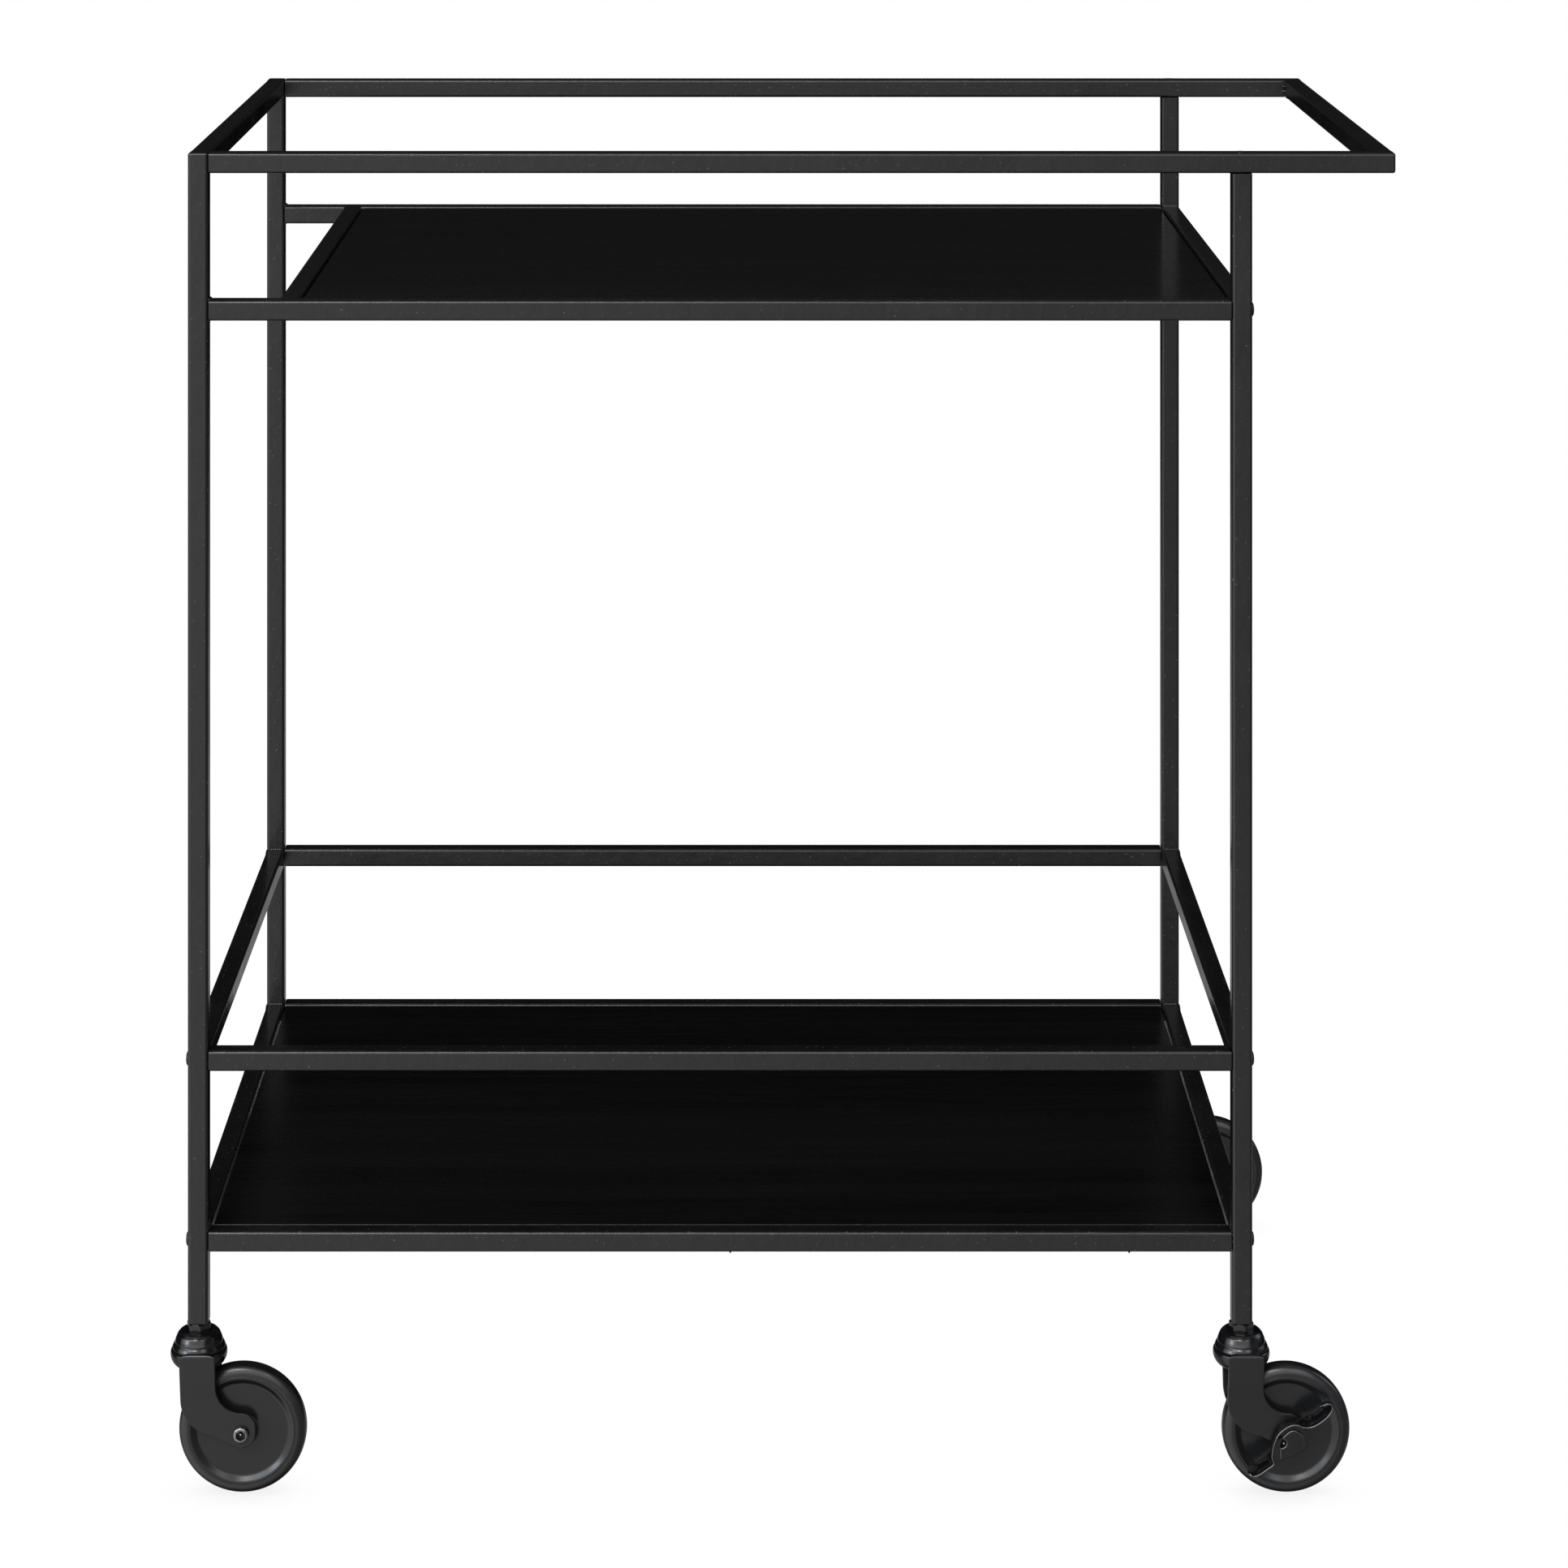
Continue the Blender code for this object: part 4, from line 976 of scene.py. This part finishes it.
def rocker_mesh():
    """The stamped foot lever: a D-shaped body under an arched rim, between a hollowed toe and heel."""
    shape = bmesh.new()
    turn = FACE_ON @ Matrix.Rotation(ROCKER_SLOPE, 4, "Z")
    base = ROCKER_FACE / MM
    arch = [(-16.2, -6.3), (-14.4, -2.4), (-9.7, 2.2), (-3.9, 5.4)]
    arch += [(0.8, 6.0), (5.2, 5.4), (8.4, 3.4), (10.4, 0.4)]
    heel = [(-31.2, -1.6), (-30.0, -4.8), (-26.5, -6.1), (-20.6, -6.4)]
    toe = [(12.6, -1.6), (16.2, -3.2), (21.8, -3.8), (26.5, -3.4)]
    toe += [(30.3, -1.8), (31.4, 0.4), (29.8, 2.6), (25.8, 3.3)]
    belly = [(10.2, -4.0), (7.0, -9.6), (3.0, -11.7), (-3.0, -11.2), (-9.1, -9.2)]
    body = outline_through((arch, 6), (belly, 5)) + [(-15.6, -7.4)]
    hole = ((-5.2, 0.2), 2.7)
    plate(shape, turn, body, base, base + 1.7, 0.4, hole)
    inner_arch = [(-11.6, -6.6), (-8.4, -2.0), (-6.0, 1.2), (-2.4, 2.6)]
    inner_arch += [(1.4, 2.9), (4.6, 2.2), (6.6, -0.6), (7.4, -4.2)]
    inner_belly = [(5.6, -8.0), (2.2, -10.0), (-3.2, -9.6), (-8.6, -8.0)]
    inner = outline_through((inner_arch, 6), (inner_belly, 5))
    # The inner plate's edges get bare steel: edge wear, and a painted highlight
    plate(shape, turn, inner, base + 1.2, base + 3.3, 0.5, hole, edge_wear_and_highlight=True)
    lower = [(-31.2, -2.8), (-29.0, -5.4), (-26.0, -6.1), (-12.0, -6.6)]
    upper = [(-31.2, -0.6), (-29.6, 1.6), (-27.0, 2.0), (-22.7, 0.6), (-12.0, 0.2)]
    pedal(shape, turn, -10.5, -31.2, lower, upper, base + 0.1, 1.6)
    lower = [(8.0, -0.6), (16.2, -3.3), (21.8, -3.8), (25.4, -3.6), (29.4, -2.4), (31.5, -0.8)]
    upper = [(8.0, 4.4), (16.2, 4.6), (20.8, 3.0), (25.8, 3.3), (29.6, 2.6), (31.5, 1.0)]
    pedal(shape, turn, 7.0, 31.5, lower, upper, base + 0.1, 1.6)
    bent_rim(shape, turn, heel + arch + toe, 1.1, base + 0.4, base + 4.4)
    pin = bmesh.new()
    end = turn @ Matrix.Translation((-4.4 * MM, -1.0 * MM, ROCKER_FACE))
    profile = [(0, 3.0), (0.7, 2.8), (1.2, 2.1), (1.2, 0), (0, 0)]
    turned(pin, [(r * MM, h * MM) for r, h in profile], 24, end)
    # The pin is bare steel, in the same material as the rim's painted highlight
    for face in pin.faces:
        face.material_index = 1
    join(shape, pin)
    mesh = finish_mesh("rocker", shape, gloss_enamel, 50)
    mesh.materials.append(bare_steel_and_highlight)
    return mesh


def cam_mesh():
    """The turned neck that the rocker rocks on, round the axle bolt's head."""
    shape = bmesh.new()
    low = LEG_OUTSIDE + 0.1 * MM
    high = ROCKER_FACE - 0.1 * MM
    outside = [(5.0 * MM, low), (6.2 * MM, low), (6.2 * MM, high - 0.3 * MM), (5.9 * MM, high)]
    inside = [(5.3 * MM, high), (5.0 * MM, high - 0.3 * MM)]
    turned(shape, outside + inside, 64, FACE_ON, closed=True)
    return finish_mesh("cam", shape, satin_enamel, 40)


def build_casters():
    """Four casters from shared meshes, two with brakes. Plugs and balls keep their CAD shapes."""
    pieces = [
        ("caster_stem", stem_mesh(), "caster_enamel", "frame"),
        ("caster_fork", fork_mesh(), "caster_enamel", "caster_{}"),
        ("tyre", tyre_mesh(), "tyre_rubber", "wheel_{}"),
        ("wheel_hub", hub_mesh(), "hub_plastic", "wheel_{}"),
        ("axle_bolt", axle_mesh(), "black_steel", "caster_{}"),
        ("axle_nut", nut_mesh(), "black_steel", "caster_{}"),
    ]
    brakes = [
        ("brake_rocker", rocker_mesh(), "caster_enamel", "brake_{}"),
        ("brake_cam", cam_mesh(), "caster_enamel", "caster_{}"),
    ]
    for side, y in POSTS_Y.items():
        for end, x in POSTS_X.items():
            corner = f"{side}_{end}"
            chosen = pieces + (brakes if corner in BRAKED else [])
            for name, mesh, slot, body in chosen:
                node = f"{name}_{corner}"
                place_mesh(f"fine_{node}", mesh, body.format(corner), [node], (x, y, 0))
            for kind, material in (("leg_plug", black_nylon), ("swivel_balls", bright_steel)):
                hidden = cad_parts[f"{kind}_{corner}"].data
                hidden.materials.clear()
                hidden.materials.append(material)


# Stage


def follow_camera(target, path, index, expression, camera):
    """Drives one value by the camera's place. An index of -1 is for a value that stands alone."""
    curve = target.driver_add(path, index)
    for i, letter in enumerate("xyz"):
        variable = curve.driver.variables.new()
        variable.name = letter
        variable.targets[0].id = camera
        variable.targets[0].data_path = f"location[{i}]"
    curve.driver.expression = expression


def make_camera():
    """Level, with the lens shifted down. The shift holds only here, so other views stay centred."""
    data = bpy.data.cameras.new("camera")
    data.lens = CAMERA_LENS
    data.sensor_width = 36
    camera = bpy.data.objects.new("camera", data)
    camera.location = CAMERA_PLACE
    camera.rotation_euler = (math.pi / 2, 0, 0)
    bpy.context.scene.collection.objects.link(camera)
    bpy.context.scene.camera = camera
    away = "abs(x - {:.4f}) + abs(y - {:.4f}) + abs(z - {:.4f})".format(*CAMERA_PLACE)
    for path, shift in zip(("shift_x", "shift_y"), CAMERA_SHIFT):
        follow_camera(data, path, -1, f"{shift} if {away} < 0.001 else 0", camera)
    return camera


def front_light(nodes, right, up):
    """The broad light on the camera's side: brighter at the left, with a wide strip over it."""
    low_fade = nodes.span(up, -0.96, -0.78, 0.03, 1.0, smooth=True)
    low_fade = nodes.math("MULTIPLY", low_fade, nodes.span(up, -0.36, -0.04, 0.84, 1.0, smooth=True))
    high_fade = nodes.span(up, 0.16, 0.46, 1.0, 0.10, smooth=True)
    sideways = nodes.span(right, -0.55, 0.55, 1.43, 0.26, smooth=True)
    broad = nodes.math("MULTIPLY", nodes.math("MULTIPLY", low_fade, high_fade), sideways)
    broad = nodes.math("MULTIPLY", broad, 1.02)
    strip = nodes.span(up, 0.10, 0.24, smooth=True)
    strip = nodes.math("MULTIPLY", strip, nodes.span(up, 0.40, 0.98, 1.7, 0.3, smooth=True))
    strip = nodes.math("MULTIPLY", strip, nodes.span(right, 0.40, 0.68, 1.0, 0.05, smooth=True))
    return nodes.math("ADD", broad, strip)


def back_light(nodes, up):
    """The light from behind the cart: the sweep below, a faint glow, and some more overhead."""
    sweep = nodes.span(up, -0.16, -0.30, 0.0, 0.35, smooth=True)
    sweep = nodes.math("MULTIPLY", sweep, nodes.span(up, -0.96, -0.60, 0.05, 1.0, smooth=True))
    glow = nodes.span(up, -0.02, 0.12, smooth=True)
    glow = nodes.math("MULTIPLY", glow, nodes.span(up, 0.36, 0.18, smooth=True))
    glow = nodes.math("ADD", nodes.math("MULTIPLY", glow, 0.012), 0.0025)
    overhead = nodes.span(up, 0.52, 0.84, 0.0, 0.24, smooth=True)
    return nodes.math("ADD", nodes.math("ADD", sweep, glow), overhead)


def softbox(nodes, seen, direction, sharpness, power):
    """A soft round light in one direction."""
    aim = Vector(direction).normalized()
    facing = nodes.vector_math("DOT_PRODUCT", seen, aim).outputs["Value"]
    falloff = nodes.math("MULTIPLY", nodes.math("SUBTRACT", facing, 1.0), sharpness)
    return nodes.math("MULTIPLY", nodes.math("EXPONENT", falloff), power)


def make_world(camera):
    """A white sweep for the camera. Reflections see soft lights, which turn with the camera."""
    world = bpy.data.worlds.new("studio")
    bpy.context.scene.world = world
    world.use_nodes = True
    nodes = Nodes(world.node_tree)
    seen = nodes.add("ShaderNodeTexCoord").outputs["Generated"]
    turned_by = nodes.add("ShaderNodeMapping", {"Vector": seen}, vector_type="VECTOR")
    turned_by.name = "turn"
    path = 'nodes["turn"].inputs[2].default_value'
    follow_camera(world.node_tree, path, 2, "-atan2(x, -y)", camera)
    split = nodes.add("ShaderNodeSeparateXYZ", {0: turned_by.outputs[0]}).outputs
    right, away, up = split["X"], split["Y"], split["Z"]

    towards = nodes.math("MULTIPLY", away, -1.0)
    in_front = nodes.span(towards, -0.15, 0.30, smooth=True)
    front = nodes.math("MULTIPLY", front_light(nodes, right, up), in_front)
    back = nodes.math("MULTIPLY", back_light(nodes, up), nodes.math("SUBTRACT", 1.0, in_front))
    neutral = nodes.math("ADD", front, back)
    neutral = nodes.math("ADD", neutral, softbox(nodes, turned_by.outputs[0], *WHITE_SOFTBOX))
    cool = 0.0
    for box in COOL_SOFTBOXES:
        cool = nodes.math("ADD", cool, softbox(nodes, turned_by.outputs[0], *box))
    soft = nodes.add("ShaderNodeBackground", {"Color": (1.0, 0.995, 1.0, 1), "Strength": neutral})
    bright = nodes.add("ShaderNodeBackground", {"Color": (0.74, 0.85, 1.0, 1), "Strength": cool})
    lit = nodes.add("ShaderNodeAddShader", {0: soft.outputs[0], 1: bright.outputs[0]})
    white = nodes.add("ShaderNodeBackground", {"Color": (1, 1, 1, 1), "Strength": 1.0})
    seen_directly = nodes.add("ShaderNodeLightPath").outputs["Is Camera Ray"]
    mixed = nodes.add("ShaderNodeMixShader", {0: seen_directly, 1: lit.outputs[0], 2: white.outputs[0]})
    nodes.add("ShaderNodeOutputWorld", {"Surface": mixed.outputs[0]})


def make_floor():
    """A pale floor with a faint soft shadow where the wheels stand. Reflections see the sweep instead."""
    shape = bmesh.new()
    bmesh.ops.create_grid(shape, x_segments=1, y_segments=1, size=60)
    mesh = bpy.data.meshes.new("floor")
    shape.to_mesh(mesh)
    shape.free()
    floor = bpy.data.objects.new("floor", mesh)
    bpy.context.scene.collection.objects.link(floor)
    material = bpy.data.materials.new("pale_floor")
    material.use_nodes = True
    nodes = Nodes(material.node_tree)
    open_sky = nodes.add("ShaderNodeAmbientOcclusion", {"Distance": 0.03}, samples=8).outputs["AO"]
    strength = nodes.span(open_sky, 0.35, 0.95, 0.88, 1.0, smooth=True)
    glow = nodes.add("ShaderNodeEmission", {"Color": (1, 1, 1, 1), "Strength": strength})
    nodes.add("ShaderNodeOutputMaterial", {"Surface": glow.outputs[0]})
    mesh.materials.append(material)
    floor.visible_diffuse = False
    floor.visible_glossy = False
    floor.visible_transmission = False
    floor.visible_shadow = False


coat = powder_coat()
gloss_enamel = enamel("caster_enamel_gloss", (0.0025, 0.0025, 0.0027), (0.0045, 0.0045, 0.0048), 0.11)
satin_enamel = enamel("caster_enamel_satin", (0.0045, 0.0045, 0.0047), (0.0075, 0.0075, 0.0078), 0.22, 0.06)
rubber = tyre_rubber()
plastic = hub_plastic()
black_steel = steel("black_oxide_steel", (0.030, 0.030, 0.032), (0.055, 0.055, 0.058), 0.34)
axle_steel = steel("axle_steel", (0.16, 0.16, 0.165), (0.24, 0.24, 0.245), 0.18)
# Bare steel for the rocker's rim, plate edges and pin: edge wear, set bright as a painted highlight on the
# rim and plate edges
bare_steel_and_highlight = steel("bare_edge_steel_painted_highlight", (0.09, 0.09, 0.093), (0.14, 0.14, 0.145), 0.26)
bright_steel = steel("bearing_steel", (0.50, 0.50, 0.51), (0.60, 0.60, 0.61), 0.22)
black_nylon = nylon()

build_end_frame("left_end_frame", (CUT_END, GROUND_END), (HEIGHT, GUARD_TOP, LOWER_TOP), 11)
build_end_frame("right_end_frame", (CUT_END, CUT_END), (SHELF_TOP, GUARD_TOP, LOWER_TOP), 501)
build_hoop()
build_long_rails()
build_shelf_frame()
build_panels()
build_screws()
build_casters()

camera = make_camera()
make_world(camera)
make_floor()
bpy.context.scene.view_settings.view_transform = "Standard"
